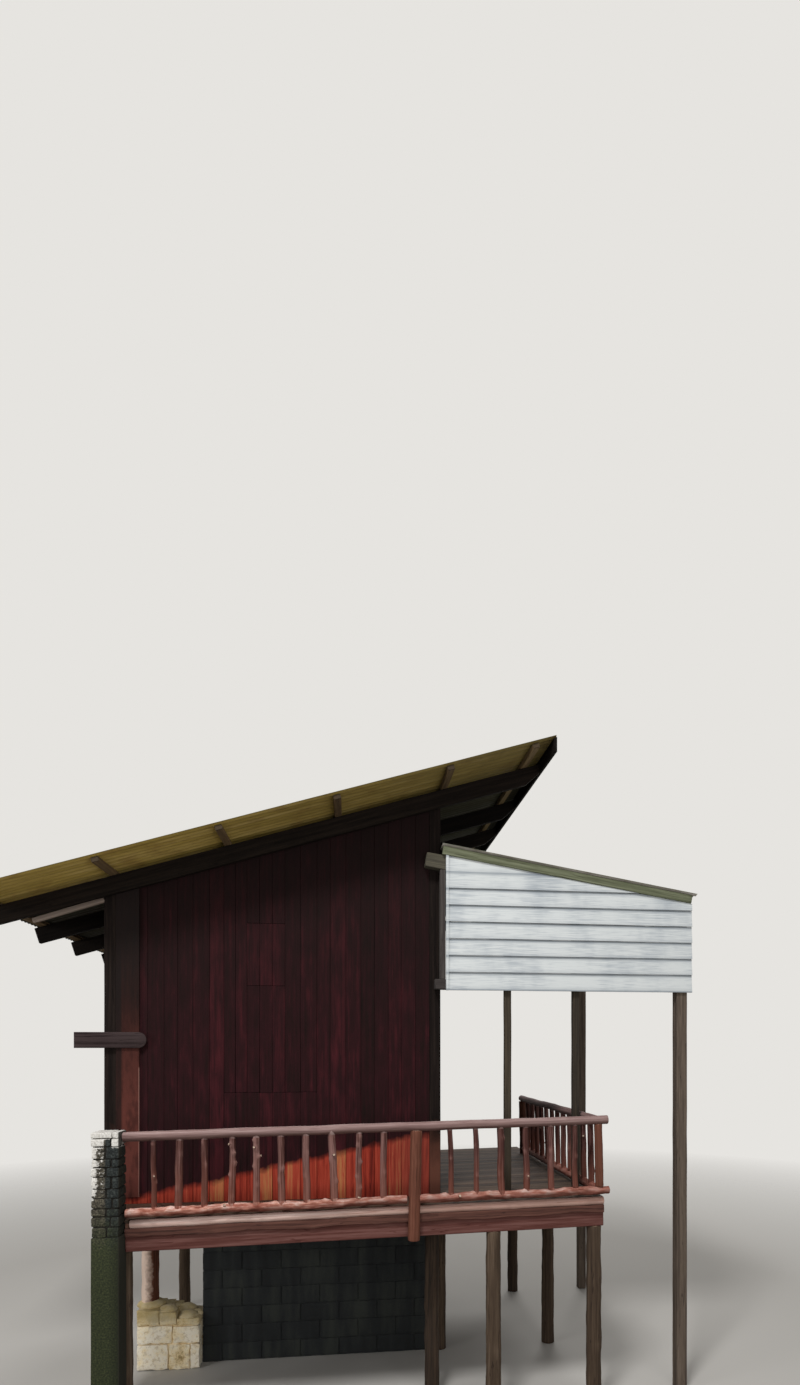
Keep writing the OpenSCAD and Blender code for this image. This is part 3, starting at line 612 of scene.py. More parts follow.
# The front beam shows below the railing: red-brown, rain-washed on its face.
beam_wood = wood("red_brown_beam", ("#291411", "#472520", "#5b352f", "#744f49"),
                 0.024, 0.005, 0.82, contrast=1.1, shine=0.2)
column_side, porch_side = right + clear, cabin_wide + clear
beam_top, board_foot = -0.120, -0.030
deck_end = deck_u(4.270, 0)
piece = started()
timber(piece, DECK, (deck_u(column_side, beam_top), -0.380, beam_foot), (deck_end, -0.280, beam_top),
       chance, 0.006, 0.004)
for y in (1.150, 2.900):
    timber(piece, DECK, (deck_u(porch_side, beam_top), y, beam_foot), (deck_end, y + 0.100, beam_top),
           chance, 0.006, 0.003)
finished("deck_bearers", piece, "deck_beams", "frame_wood", beam_wood)

joist = 0.060
walk_u, porch_u = deck_u(column_side, board_foot), deck_u(porch_side, board_foot)
piece = started()
for i in range(5):
    u = walk_u + i * (porch_u - walk_u) / 5
    timber(piece, DECK, (u, -0.379, beam_top), (u + joist, -clear, board_foot), chance)
for i in range(4):
    u = porch_u + i * (deck_end - joist - porch_u) / 3
    timber(piece, DECK, (u, -0.379, beam_top), (u + joist, cabin_deep, board_foot), chance)
finished("deck_bearer_joists", piece, "deck_joists", "frame_wood", frame_wood)


# Front edge of the deck. A rough plank is nailed over the joist ends, its lower side left waney,
# and a half log, split lengthwise, covers the edge of the floor boards above it.
plank_wood = wood("waney_plank", ("#2b1814", "#4c2e26", "#674339", "#8b675b"),
                  0.020, 0.005, 0.84, depth=0.003)
piece = started()
timber(piece, DECK, (deck_u(column_side, 0), -0.404, -0.1345), (deck_end, -0.3803, -0.068), chance,
       0.004, 0.003, 0.06)
for v in piece.verts:
    low = DECK.inverted() @ v.co
    if low.z < -0.11:
        low.z += 0.016 * noise.noise(Vector((low.x * 2.6, 0, 5)))
        low.z += 0.006 * noise.noise(Vector((low.x * 11, 0, 9)))
        v.co = DECK @ low
finished("waney_plank", piece, "joist_plank", "frame_wood", plank_wood)

# Split softwood, bleached by sun on its round side, and browner towards the right.
bleached = wood("bleached_split_log", ("#6f463a", "#b28a7e", "#d8b5a9", "#ecd2c8"),
                0.012, 0.003, 0.8, depth=0.003, contrast=1.2, split=0.30)
stained(bleached, places(bleached)[1], "#a3705d", (-0.6, 0.8), 0.55)
bleached_end = end_grain("sawn_end_of_rail", ("#8a6f5f", "#c9b39f"))
edge_y, edge_w = -0.380, -0.035
piece = started()
log(piece, DECK, (deck_u(0.312, 0), edge_y, edge_w), (deck_end, edge_y, edge_w), 0.036, chance, 0.99,
    crook=0.003, knots=((0.12, 2.2, 0.2), (0.4, 3.4, 0.25), (0.8, 2.8, 0.2)))
cut_off(piece, DECK @ Vector((0, edge_y, 0)), (0, 1, 0), 0.0001)
finished("edge_half_log", piece, "deck_edge_log", "log_wood", bleached, bleached_end)


# Floor boards of the cabin, the walkway and the side porch. Sawn boards about 120 mm wide,
# nailed across the joists with open joints of a few millimetres.
floor_wood = wood("worn_floor_board", ("#211914", "#372a22", "#4f3f33", "#695645"), 0.022, 0.004, 0.82)
chance = Random(41)


def floor_boards(piece, place, low, high, chance, gap=0.004):
    """Boards along x, as wide as fits, from the low corner to the high one."""
    count = max(1, round((high[1] - low[1]) / 0.12))
    wide = (high[1] - low[1]) / count
    for i in range(count):
        y = low[1] + i * wide
        sink = chance.uniform(0, 0.002)
        timber(piece, place, (low[0], y + gap / 2, low[2]), (high[0], y + wide - gap / 2, high[2] - sink),
               chance, 0.002, 0.0008, 0.5)


piece = started()
floor_boards(piece, DECK, (deck_u(column_side, 0), edge_y, board_foot), (deck_end, -clear, 0), chance)
finished("walkway_boards", piece, "walkway_floor", "floor_boards", floor_wood)

piece = started()
floor_boards(piece, DECK, (deck_u(porch_side, 0), 0.0, board_foot), (deck_end, cabin_deep, 0), chance)
finished("porch_boards", piece, "porch_floor", "floor_boards", floor_wood)

# The cabin's floor is notched round its corner posts.
cabin_floor, corner, wall = 1.870, 0.100, 0.040
past_post, past_wall = corner + clear, wall + clear
back_post, back_wall = cabin_deep - past_post, cabin_deep - past_wall
piece = started()
for side, near, far in (
    (past_post, past_wall, past_post),
    (past_wall, past_post, back_post),
    (past_post, back_post, back_wall),
):
    floor_boards(piece, CABIN, (side, near, sill_top), (cabin_wide - side, far, cabin_floor), chance)
finished("cabin_boards", piece, "cabin_floor", "floor_boards", floor_wood)


# Log railing. Peeled poles with their knots left on: a top rail, a lower rail and crooked
# balusters nailed between them, on a leaning middle post and a post at the corner.
rail_y, top_w, low_w = -0.4323, 0.675, 0.064
side_u = deck_end - 0.050
rail_end = side_u + 0.085
foot_u = deck_u(2.600, beam_foot)
chance = Random(53)


def shade_log_undersides(made, radius, under):
    """Darkens the underside of lying logs of this radius with painted shade."""
    grain = node(made, "Attribute", take=1, attribute_name="grain")
    height = node(made, "SeparateXYZ", {0: grain}, 1)
    height = node(made, "MapRange", {"Value": height, "From Min": -0.7 * radius, "From Max": 0.5 * radius})
    shade = node(made, "ValToRGB", {"Fac": height}, stops=((0.0, under), (1.0, "#ffffff")))
    stained(made, 1.0, shade, blend="MULTIPLY")


def paint_sunlit_foot(made, low, high, code, most):
    """Paints a wood towards one colour at its foot as painted sunlight, as far up as the sun reaches."""
    spot, _, _, height = places(made)
    cloud = node(made, "TexNoise", {"Vector": spot, "Scale": 8, "Detail": 3})
    stained(made, summed(made, height, (cloud, 0.3)), code, (high + 0.15, low + 0.15), most)


# Peeled rails: pinkish grey, red-brown in the hollows, and given painted shade on their undersides.
rail_wood = wood("peeled_rail", ("#402f2d", "#6b514e", "#8c716d", "#ad9591"), 0.018, 0.004, 0.74, split=0.12)
low_rail_wood = wood("knotty_lower_rail", ("#582b20", "#945d4e", "#c08c7f", "#e6c6bb"),
                     0.020, 0.004, 0.76, depth=0.003, contrast=1.2, split=0.12)
# Inner bark is left in the lower rail's hollows, in patches some 40 mm wide and 110 mm long.
bark = node(low_rail_wood, "Attribute", take=1, attribute_name="grain")
bark = node(low_rail_wood, "ValToRGB", {"Fac": marks(low_rail_wood, bark, (9, 26, 26), 4, 0.6)},
            stops=((0.34, "#a3705f"), (0.48, "#ddb9ac"), (0.60, "#ffffff")))
stained(low_rail_wood, 1.0, bark, blend="MULTIPLY")
stained(low_rail_wood, places(low_rail_wood)[1], "#7d5348", (-1.1, 0.2), 0.45)
# Painted shade darkens the rails' undersides.
shade_log_undersides(rail_wood, 0.040, "#b3a19c")
shade_log_undersides(low_rail_wood, 0.040, "#a1867c")
stick_wood = wood("peeled_baluster", ("#1a0c0a", "#331a16", "#4c2c27", "#82605a"),
                  0.014, 0.004, 0.78, contrast=1.2, split=0.15, shine=0.2)
# Painted sunlight lightens the balusters' feet.
paint_sunlit_foot(stick_wood, 2.00, 2.30, "#87503f", 0.4)
rail_finishes = (rail_wood, bleached_end, stick_wood, low_rail_wood)


def give_skins(piece, under_top):
    """Tells a panel's sticks and lower rail from the top rail, whose underside is this far down."""
    for f in piece.faces:
        spot = DECK.inverted() @ f.calc_center_median()
        if f.material_index == 0 and spot.z < top_w - under_top:
            f.material_index = 2 if low_w + 0.045 < spot.z else 3


piece = started()
log(piece, DECK, (deck_u(column_side, top_w), rail_y, top_w), (rail_end, rail_y, top_w), 0.041, chance, 0.97,
    crook=0.005, knots=((0.07, 0.8, 0.07), (0.36, 1.2, 0.08), (0.62, 0.5, 0.07), (0.9, 1.0, 0.09)),
    sides=20, swelling=0.5, burr=0.03, step=0.03)
for a, b, knots in (
    (deck_u(0.292, low_w), foot_u - 0.050,
     ((0.02, 0.7, 0.45), (0.03, -1.6, 0.3), (0.09, 1.9, 0.25), (0.15, 0.6, 0.35), (0.23, 0.2, 0.25),
      (0.28, 1.3, 0.3), (0.34, 0.8, 0.45, 0.008), (0.42, 2.2, 0.3), (0.52, 0.3, 0.4), (0.60, 0.9, 0.35),
      (0.70, 0.2, 0.4), (0.76, 1.8, 0.3), (0.82, 0.6, 0.45, 0.006), (0.92, 0.9, 0.35))),
    (foot_u + 0.056, rail_end,
     ((0.05, 0.9, 0.4), (0.13, 0.4, 0.45), (0.20, 1.2, 0.4, 0.006), (0.28, 0.2, 0.4), (0.36, 0.9, 0.45),
      (0.45, 1.8, 0.35), (0.55, 0.5, 0.45), (0.66, 1.1, 0.4), (0.76, 0.3, 0.35), (0.87, 0.9, 0.4))),
):
    log(piece, DECK, (a, rail_y, low_w), (b, rail_y, low_w), 0.037, chance, 0.96, crook=0.012, knots=knots,
        sides=20, swelling=1.8, burr=0.17, step=0.018)
# The front balusters from left to right: how pale each has weathered, its radius and its knots.
sticks = (
    (0.35, 0.022, ((0.47, -1.3, 0.6, 0.008), (0.40, -0.3, 0.4), (0.9, -2.0, 0.3))),
    (0.5, 0.032, ((0.3, -2.0, 0.2), (0.75, -0.8, 0.15))),
    (0.52, 0.028, ((0.6, -1.0, 0.25), (0.9, -2.2, 0.2))),
    (0.6, 0.027, ((0.85, -2.2, 0.6, 0.007), (0.74, -0.9, 0.5), (0.60, -0.4, 0.6), (0.45, -2.6, 0.5),
                  (0.15, -1.2, 0.3))),
    (0.85, 0.029, ((0.90, -2.4, 0.5), (0.80, -1.9, 0.5, 0.008), (0.68, -0.6, 0.6, 0.012), (0.55, -2.6, 0.4),
                   (0.30, -1.2, 0.3))),
    (0.7, 0.030, ((0.50, -1.0, 0.5), (0.35, -2.3, 0.3))),
    (0.9, 0.031, ((0.7, -0.7, 0.2), (0.4, -2.2, 0.2))),
    (0.95, 0.033, ((0.97, -1.5, 0.4), (0.66, -1.3, 0.4, 0.008), (0.60, -2.2, 0.3), (0.3, -0.5, 0.4))),
    (0.8, 0.027, ((0.90, -1.0, 0.4), (0.78, -2.2, 0.5), (0.55, -0.6, 0.5), (0.35, -2.4, 0.5),
                  (0.2, -0.9, 0.4))),
    (0.75, 0.030, ((0.4, -1.0, 0.2),)),
    (0.5, 0.024, ((0.55, -1.8, 0.4),)),
    (0.5, 0.024, ((0.3, -1.2, 0.4), (0.7, -2.1, 0.3))),
    (0.35, 0.032, ((0.8, -0.6, 0.3), (0.3, -2.0, 0.2))),
    (0.4, 0.028, ((0.25, -1.4, 0.5, 0.008), (0.6, -2.2, 0.3))),
    (0.5, 0.029, ((0.6, -2.0, 0.3),)),
    (0.35, 0.025, ((0.5, -1.0, 0.4),)),
)
# How far the foot and the head of each of the left panel's balusters are off the even pitch.
leans = ((0.000, 0.007), (-0.016, 0.004), (-0.020, -0.004), (-0.011, 0.008), (-0.020, -0.007),
         (-0.022, -0.016), (-0.024, -0.018), (-0.004, -0.016), (-0.010, 0.007), (-0.009, 0.003))
left_sticks, left_pitch, right_pitch, side_pitch = len(leans), 0.205, 0.218, 0.215
for i, (tone, radius, knots) in enumerate(sticks):
    if i < left_sticks:
        u, (foot, head) = deck_u(0.511, 0) + i * left_pitch, leans[i]
    else:
        u, (foot, head) = foot_u + 0.324 + (i - left_sticks) * right_pitch, (0, 0)
    head += chance.uniform(-0.003, 0.003)
    log(piece, DECK, (u + foot, rail_y, low_w), (u + head, rail_y, top_w), radius, chance, 0.95,
        crook=0.013, knots=knots, sides=14, burr=0.07, step=0.02, tone=tone)
give_skins(piece, 0.043)
finished("front_rails", piece, "front_railing", "log_wood", *rail_finishes)

piece = started()
log(piece, DECK, (side_u, rail_y + 0.040, top_w), (side_u, 2.480, top_w), 0.038, chance, 0.96, crook=0.005,
    knots=((0.3, 1.0, 0.08), (0.6, 2.0, 0.08)), swelling=0.5)
log(piece, DECK, (side_u, rail_y + 0.042, low_w), (side_u, 2.348, low_w), 0.041, chance, 0.95, crook=0.007,
    knots=((0.2, 1.4, 0.3), (0.45, 0.5, 0.3), (0.7, 2.2, 0.3)))
for i in range(1, 13):
    y = rail_y + i * side_pitch
    head = y + chance.uniform(-0.006, 0.006)
    radius = chance.uniform(0.026, 0.031)
    knot = (chance.uniform(0.2, 0.8), chance.uniform(-3, 3), 0.3, chance.choice((0, 0, 0.008)))
    log(piece, DECK, (side_u, y, low_w), (side_u, head, top_w), radius, chance, 0.96, crook=0.012,
        knots=(knot,), sides=12)
give_skins(piece, 0.041)
finished("side_rails", piece, "side_railing", "log_wood", *rail_finishes)

# Posts of the railing: redder than the rails, the middle one leaning to the right.
rail_post_wood = wood("peeled_rail_post", ("#2d160e", "#512c1d", "#6c4030", "#885f4e"), 0.018, 0.004, 0.78,
                      split=0.15)
lean = tan(radians(2.5))
piece = started()
log(piece, DECK, (foot_u, rail_y, -0.282), (foot_u + 0.924 * lean, rail_y, 0.642), 0.052, chance, 0.95,
    crook=0.006, knots=((0.35, -1.7, 0.12), (0.7, -0.9, 0.14)), sides=18)
log(piece, DECK, (side_u, rail_y, low_w + 0.036), (side_u, rail_y, top_w - 0.035), 0.038, chance, 0.97,
    crook=0.004)
log(piece, DECK, (side_u, 2.400, 0), (side_u, 2.400, top_w - 0.033), 0.052, chance, 0.96, crook=0.004)
finished("railing_posts", piece, "rail_posts", "log_wood", rail_post_wood, bleached_end)


# Cabin walls. Upright boards about 100 to 140 mm wide, rough sawn and stained oxblood, nailed
# side by side over an inner layer that covers their joints; square posts stand at the corners.
roof_slope, roof_foot = radians(17), 4.610
ROOF = CABIN @ Matrix.Translation((0, 0, roof_foot)) @ Matrix.Rotation(-roof_slope, 4, "Y")
rafter_deep, outer_layer, inner_layer = 0.150, (0.0, 0.022), (0.023, wall)
front_head = 5.7  # as high as the front and rear boards reach before the roof's slope cuts them


def roof_z(x):
    """Height of the rafters' upper sides above the cabin's x."""
    return roof_foot + x * tan(roof_slope)


def saw(piece, place, above, slack=0.0005):
    """Cuts a piece off along a plane this far above the slope's rafters, and closes the ends."""
    up = (place.to_3x3() @ Vector((0, 0, 1))).normalized()
    cut_off(piece, place @ Vector((0, 0, above - slack)), up)


def boards(piece, line, edges, depth, foot, head, chance, tones=None, gap=0.003):
    """Upright boards between the given edges along a wall; line "x" or "y" is where it runs."""
    for i, (a, b) in enumerate(zip(edges, edges[1:])):
        near, deep = depth
        set_back = chance.uniform(0, 0.003) if near < deep else chance.uniform(-0.003, 0)
        near, deep = sorted((near + set_back, deep))
        low, high = (a + gap / 2, near, foot), (b - gap / 2, deep, head)
        if line == "y":
            low, high = (near, a + gap / 2, foot), (deep, b - gap / 2, head)
        timber(piece, CABIN, low, high, chance, 0.0025, 0.0012, 0.9, tones[i] if tones else None)


def even(start, end, near, chance, vary=0.014):
    """Board edges between two ends, each a little off the even width."""
    count = round((end - start) / near)
    inner = [start + (end - start) * i / count + chance.uniform(-vary, vary) for i in range(1, count)]
    return [start, *inner, end]


# The upper boards are painted nearly black, as painted shade under the roof. Their feet are painted
# orange red as painted sunlight, up to an uneven line that rises to the right as the roof's edge does.
painted_sun_and_shade_board = wood("painted_sun_and_shade_front_board", ("#0f0b0a", "#1b0f0e", "#2a1215", "#451b20"),
             0.026, 0.005, 0.86, contrast=1.2, split=0.10, shine=0.10)
ramp = coat(painted_sun_and_shade_board).node
mix = ramp.inputs["Fac"].links[0].from_socket
spot, across, _, height = places(painted_sun_and_shade_board)
ragged = node(painted_sun_and_shade_board, "TexNoise", {"Vector": spot, "Scale": 9, "Detail": 3})
# Rain washes the stain out in soft runs about 70 mm wide and 250 mm long.
drift = marks(painted_sun_and_shade_board, spot, (14, 14, 4), 4)
painted_sun_and_shade_board.node_tree.links.new(summed(painted_sun_and_shade_board, -0.04, (mix, 0.55), (drift, 0.62)), ramp.inputs["Fac"])
# Higher up, painted shade darkens the boards in clouds about 200 mm wide and 800 mm high.
cloud = marks(painted_sun_and_shade_board, spot, (5, 5, 1.2), 3)
stained(painted_sun_and_shade_board, summed(painted_sun_and_shade_board, height, (cloud, 1.2)), "#17100f", (3.7, 5.4), 0.75)
# Painted sunlight: below the roof's shadow line the boards turn orange red.
shadow_line = summed(painted_sun_and_shade_board, 1.918 + 1.772 * 0.207, (across, 0.207))
under = node(painted_sun_and_shade_board, "Math", {0: shadow_line, 1: height}, operation="SUBTRACT")
under = summed(painted_sun_and_shade_board, under, (ragged, 0.12))
orange = node(painted_sun_and_shade_board, "ValToRGB", {"Fac": mix},
              stops=((0.10, "#401612"), (0.34, "#7a2920"), (0.52, "#9c3829"), (0.74, "#b34a38"),
                     (0.98, "#bb7b4e")))
# Towards the right the painted sunlit band turns browner.
browner_right = node(painted_sun_and_shade_board, "MapRange", {"Value": across, "From Min": 0.1, "From Max": 0.45, "To Max": 0.35})
orange = node(painted_sun_and_shade_board, "MixRGB", {"Fac": browner_right, "Color1": orange, "Color2": linear("#4f3630")})
stained(painted_sun_and_shade_board, under, orange, (0.03, 0.09))
chance = Random(61)
piece = started()
outer = (even(corner, 0.987, 0.127, chance)[:-1] + even(0.987, 1.182, 0.098, chance)[:-1]
         + even(1.182, 1.506, 0.108, chance, 0.004)[:-1] + even(1.506, 1.782, 0.138, chance)[:-1]
         + even(1.782, cabin_wide - corner, 0.125, chance))
# Each board's tone, from the left end to the right; it shows most in the painted sunlit band.
board_tones = (0.3, 0.25, 0.15, 0.2, 0.3, 0.35, 0.95, 0.3, 0.15, 0.2, 0.95, 0.45, 0.5, 0.3, 0.4, 0.8, 0.45, -0.1,
        0.2, 0.6, 0.45, 0.1)
# The middle boards are pieced, and three of them are patched under the eave.
patch_foot, patch_head = 3.721, 4.265
for a, b, worn in zip(outer, outer[1:], board_tones):
    joint = 2.787 + chance.uniform(-0.004, 0.004)
    ends = [sill_top, front_head]
    if 0.98 < a < 1.78:
        ends.insert(1, joint)
    if 1.18 < a < 1.50:
        ends[2:2] = patch_foot, patch_head
    for z0, z1 in zip(ends, ends[1:]):
        boards(piece, "x", (a, b), outer_layer, z0 + 0.001, z1 - 0.001, chance, gap=0.0015,
               tones=[worn if z0 == sill_top else 0.75 if z1 == patch_head else chance.uniform(0.0, 0.7)])
inner = even(corner, cabin_wide - corner, 0.15, chance)
boards(piece, "x", inner, inner_layer, sill_top, front_head, chance)
saw(piece, ROOF, 0)
finished("front_boards", piece, "front_wall", "red_boards", painted_sun_and_shade_board)

# Oil stain on rough-sawn boards: matt oxblood, thin on the ridges, each board its own red.
oxblood = wood("oxblood_stained_board", ("#150d0f", "#261117", "#3b161c", "#572329"),
               0.026, 0.005, 0.86, contrast=0.9, split=0.10, shine=0.10)
# Painted sunlight lightens the feet of the boards.
paint_sunlit_foot(oxblood, 1.86, 2.25, "#6a4034", 0.55)
inner_end, door_near, door_far, door_head = cabin_deep - corner, 1.000, 1.800, 3.770
for name, solid, line, start, end, face, foot, head in (
    ("rear_boards", "rear_wall", "x", corner, cabin_wide - corner, cabin_deep, sill_top, front_head),
    ("left_boards", "left_wall", "y", corner, inner_end, 0.0, sill_top, 4.7),
    ("porch_boards_front", "porch_wall_front", "y", corner, door_near, cabin_wide, sill_top, 5.6),
    ("porch_boards_rear", "porch_wall_rear", "y", door_far, inner_end, cabin_wide, sill_top, 5.6),
    ("porch_boards_over_door", "porch_wall_over_door", "y", door_near, door_far, cabin_wide, door_head, 5.6),
):
    inwards = -1 if face else 1
    piece = started()
    for wide, layer in ((0.125, outer_layer), (0.15, inner_layer)):
        boards(piece, line, even(start, end, wide, chance), [face + inwards * deep for deep in layer],
               foot, head, chance)
    saw(piece, ROOF, 0 if line == "x" else -rafter_deep)
    finished(name, piece, solid, "red_boards", oxblood)

# Square posts, adzed and dark.
post_stain = wood("adzed_corner_post", ("#090706", "#110d0b", "#1a1412", "#29211d"),
                  0.022, 0.005, 0.85, split=0.2, shine=0.08)
# Painted sunlight lightens the posts' feet.
paint_sunlit_foot(post_stain, 2.1, 2.5, "#6f4639", 0.8)
piece = started()
for x in (0.0, cabin_wide - corner):
    for y in (0.0, cabin_deep - corner):
        timber(piece, CABIN, (x, y, sill_top), (x + corner, y + corner, front_head), chance,
               0.005, 0.002, 0.3)
saw(piece, ROOF, 0)
finished("corner_timbers", piece, "corner_posts", "frame_wood", post_stain)

# The cover board beside the front left post is newer, planed, and rosy brown.
rosy = wood("planed_cover_board", ("#130a08", "#20110e", "#2d1814", "#402520"),
            0.022, 0.004, 0.7, contrast=0.9, split=0.12, shine=0.1)
# Painted sunlight lightens its lower part.
paint_sunlit_foot(rosy, 2.6, 3.6, "#683830", 0.75)
spot, across, _, height = places(rosy)
# Rain leaves it blotched, in dark runs about 50 mm wide and 150 mm long.
stained(rosy, marks(rosy, spot, (20, 20, 7), 4, 0.6), "#2b1512", (0.46, 0.62), 0.55)
# Painted shade darkens it from 3.3 m up, under the eave, and its left edge beside the post is darker too.
painted_shade = node(rosy, "MapRange", {"Value": height, "From Min": 3.3, "From Max": 4.1, "To Max": 0.8})
rim = node(rosy, "MapRange", {"Value": across, "From Min": -1.988, "From Max": -2.006, "To Max": 0.8})
painted_shade = node(rosy, "Math", {0: painted_shade, 1: rim}, operation="MAXIMUM")
stained(rosy, painted_shade, "#14100f")
# A painted highlight runs down its right edge below the name board, pale as bare wood.
painted_edge_highlight = node(rosy, "MapRange", {"Value": across, "From Min": -1.863, "From Max": -1.860, "To Max": 0.6})
below = node(rosy, "MapRange", {"Value": height, "From Min": 3.02, "From Max": 3.00})
painted_edge_highlight = node(rosy, "Math", {0: painted_edge_highlight, 1: below}, operation="MULTIPLY")
stained(rosy, painted_edge_highlight, "#9a7268")
piece = started()
timber(piece, CABIN, (corner, -0.018, 1.905), (0.290, 0.0, 4.6), chance, 0.002, 0.001, 0.4, 0.55)
saw(piece, ROOF, -0.151)
finished("cover_board", piece, "corner_board", "red_boards", rosy)


# Doorway to the side porch, and the plates on the side walls. The frame is of planed timber let
# through the boarding, two jambs under a head; the plates are sawn square and carry the rafters.
planed_wood = wood("planed_door_frame", ("#1c0f0c", "#321c17", "#482b24", "#5f3c33"),
                   0.022, 0.004, 0.7, contrast=0.9, split=0.12)
jamb, jamb_head, frame_in, frame_out = 0.050, 3.720, 2.825, 2.895
piece = started()
for y in (door_near, door_far - jamb):
    timber(piece, CABIN, (frame_in, y, cabin_floor), (frame_out, y + jamb, jamb_head - clear), chance)
timber(piece, CABIN, (frame_in, door_near, jamb_head), (frame_out, door_far, door_head), chance)
finished("door_timbers", piece, "door_frame", "frame_wood", planed_wood)

piece = started()
for x in (0.040, 2.760):
    z = roof_z(x) - rafter_deep / cos(roof_slope)
    timber(piece, CABIN, (x, corner + clear, z - 0.080), (x + 0.080, inner_end - clear, z + 0.025), chance)
saw(piece, ROOF, -rafter_deep)
finished("head_plates", piece, "wall_plates", "frame_wood", frame_wood)


# Main roof frame. Four rafters rise to the right, the outer two nailed to the wall faces, with
# purlins laid flat across them and a board upright along the high eave. Sawn, nearly black.
rafter_wood = wood("dark_rafter_timber", ("#090706", "#110d0b", "#191411", "#261f1a"),
                   0.028, 0.005, 0.84, split=0.2, shine=0.08)
chance = Random(71)
rafter, rafter_end, high_eave = 0.050, 3.785, 3.810
piece = started()
for y in (-rafter, 0.98333, 1.96667, cabin_deep):
    timber(piece, ROOF, (-0.930 / cos(roof_slope), y, -rafter_deep),
           (rafter_end / cos(roof_slope) + 0.2, y + rafter, 0.0), chance, 0.004, 0.002)
cut_off(piece, CABIN @ Vector((rafter_end, 0, 0)), (1, 0, 0))
cut_off(piece, CABIN @ Vector((rafter_end, 0, roof_z(rafter_end) - 0.080)), (0.9, 0, -1.0))
finished("roof_rafters", piece, "rafters", "frame_wood", rafter_wood)

# A pale lath is nailed slantwise behind the front rafter's low end.
lath_wood = wood("pale_split_lath", ("#4b4039", "#6b5d53", "#8a7b70", "#a5978b"), 0.016, 0.004, 0.85)
lath = Matrix.Translation((-0.2865, 0.0135, 4.3417)) @ Matrix.Rotation(atan2(-0.192, 0.573), 4, "Y")
half = Vector((0.302, 0.0125, 0.0225))
piece = started()
timber(piece, CABIN @ lath, -half, half, chance, 0.003, 0.001, 0.2, 0.5)
finished("eave_lath", piece, None, "frame_wood", lath_wood)

# The purlins are paler, tanned like the sheets' undersides, with their cut ends gone dark.
purlin_wood = wood("tanned_purlin", ("#3f3222", "#5d4a33", "#786245", "#927b5a"), 0.022, 0.005, 0.85)
stained(purlin_wood, places(purlin_wood)[2], "#241c12", (-2.010, -2.017), 0.8)
purlin_rows = [x / cos(roof_slope) for x in (-0.850, 0.090, 1.030, 1.970, 2.910, 3.640)]
purlin, purlin_flat = 0.040, 0.030
piece = started()
for s in purlin_rows:
    timber(piece, ROOF, (s - purlin_flat, -0.520, 0.0), (s + purlin_flat, 3.520, purlin), chance, 0.003)
finished("roof_purlins", piece, "purlins", "frame_wood", purlin_wood)

roof_front, roof_back = -0.540, 3.540
lift = purlin / cos(roof_slope)
piece = started()
timber(piece, CABIN, (rafter_end, roof_front, roof_z(rafter_end) + lift - 0.120),
       (high_eave, roof_back, roof_z(high_eave) + lift), chance, 0.003)
saw(piece, ROOF, purlin)
finished("high_eave_board", piece, "eave_board", "frame_wood", rafter_wood)


# Main roof covering. Corrugated steel in sheets that lap by a wave, 76 mm from crest to crest,
# pinned through the crests to each purlin; dull grey above, tanned by smoke and dust below.
wave = 0.076


def corrugated(piece, place, low, high, covers, chance, skin=0.0012):
    """Wavy sheets side by side between two corners of a slope, which run down it along x."""
    wide = (high[1] - low[1]) / covers
    height = high[2] - low[2]
    for i in range(covers):
        y0 = low[1] + i * wide
        y1 = min(high[1], y0 + wide + wave * (i < covers - 1))
        cells = round((y1 - y0) / wave * 8)
        member = bmesh.new()
        bmesh.ops.create_grid(member, x_segments=24, y_segments=cells, size=0.5)
        for v in member.verts:
            x = (low[0] + high[0]) / 2 + v.co.x * (high[0] - low[0])
            y = (y0 + y1) / 2 + v.co.y * (y1 - y0)
            z = low[2] + height / 2 + (height / 2 - 0.0028) * cos(2 * pi * (y - low[1]) / wave)
            sag = 0.0010 * noise.noise(Vector((x * 1.5, y * 2.0, i))) + (0.0006 if i % 2 else -0.0006)
            v.co = (x, y, z + sag)
        bmesh.ops.solidify(member, geom=member.faces[:], thickness=skin)
        bmesh.ops.recalc_face_normals(member, faces=member.faces[:])
        grain = member.verts.layers.float_vector.new("grain")
        for v in member.verts:
            v[grain] = v.co + Vector((i * 3.7, i * 1.3, 0))
            v.co.y = min(max(v.co.y, low[1]), high[1])
        for f in member.faces:
            f.material_index = int(f.normal.z < -0.3)
        lay(piece, member, place, chance.random())


def pins(piece, place, rows, low, high, top, chance):
    """Domed nails on every third crest over each purlin, few-sided because there are so many."""
    crest = low + wave
    while crest < high:
        for s in rows:
            member = bmesh.new()
            bmesh.ops.create_cone(member, cap_ends=True, segments=8, radius1=0.011, radius2=0.004,
                                  depth=0.004)
            member.verts.layers.float_vector.new("grain")
            lay(piece, member, place @ Matrix.Translation((s, crest, top)), chance.random())
        crest += 3 * wave


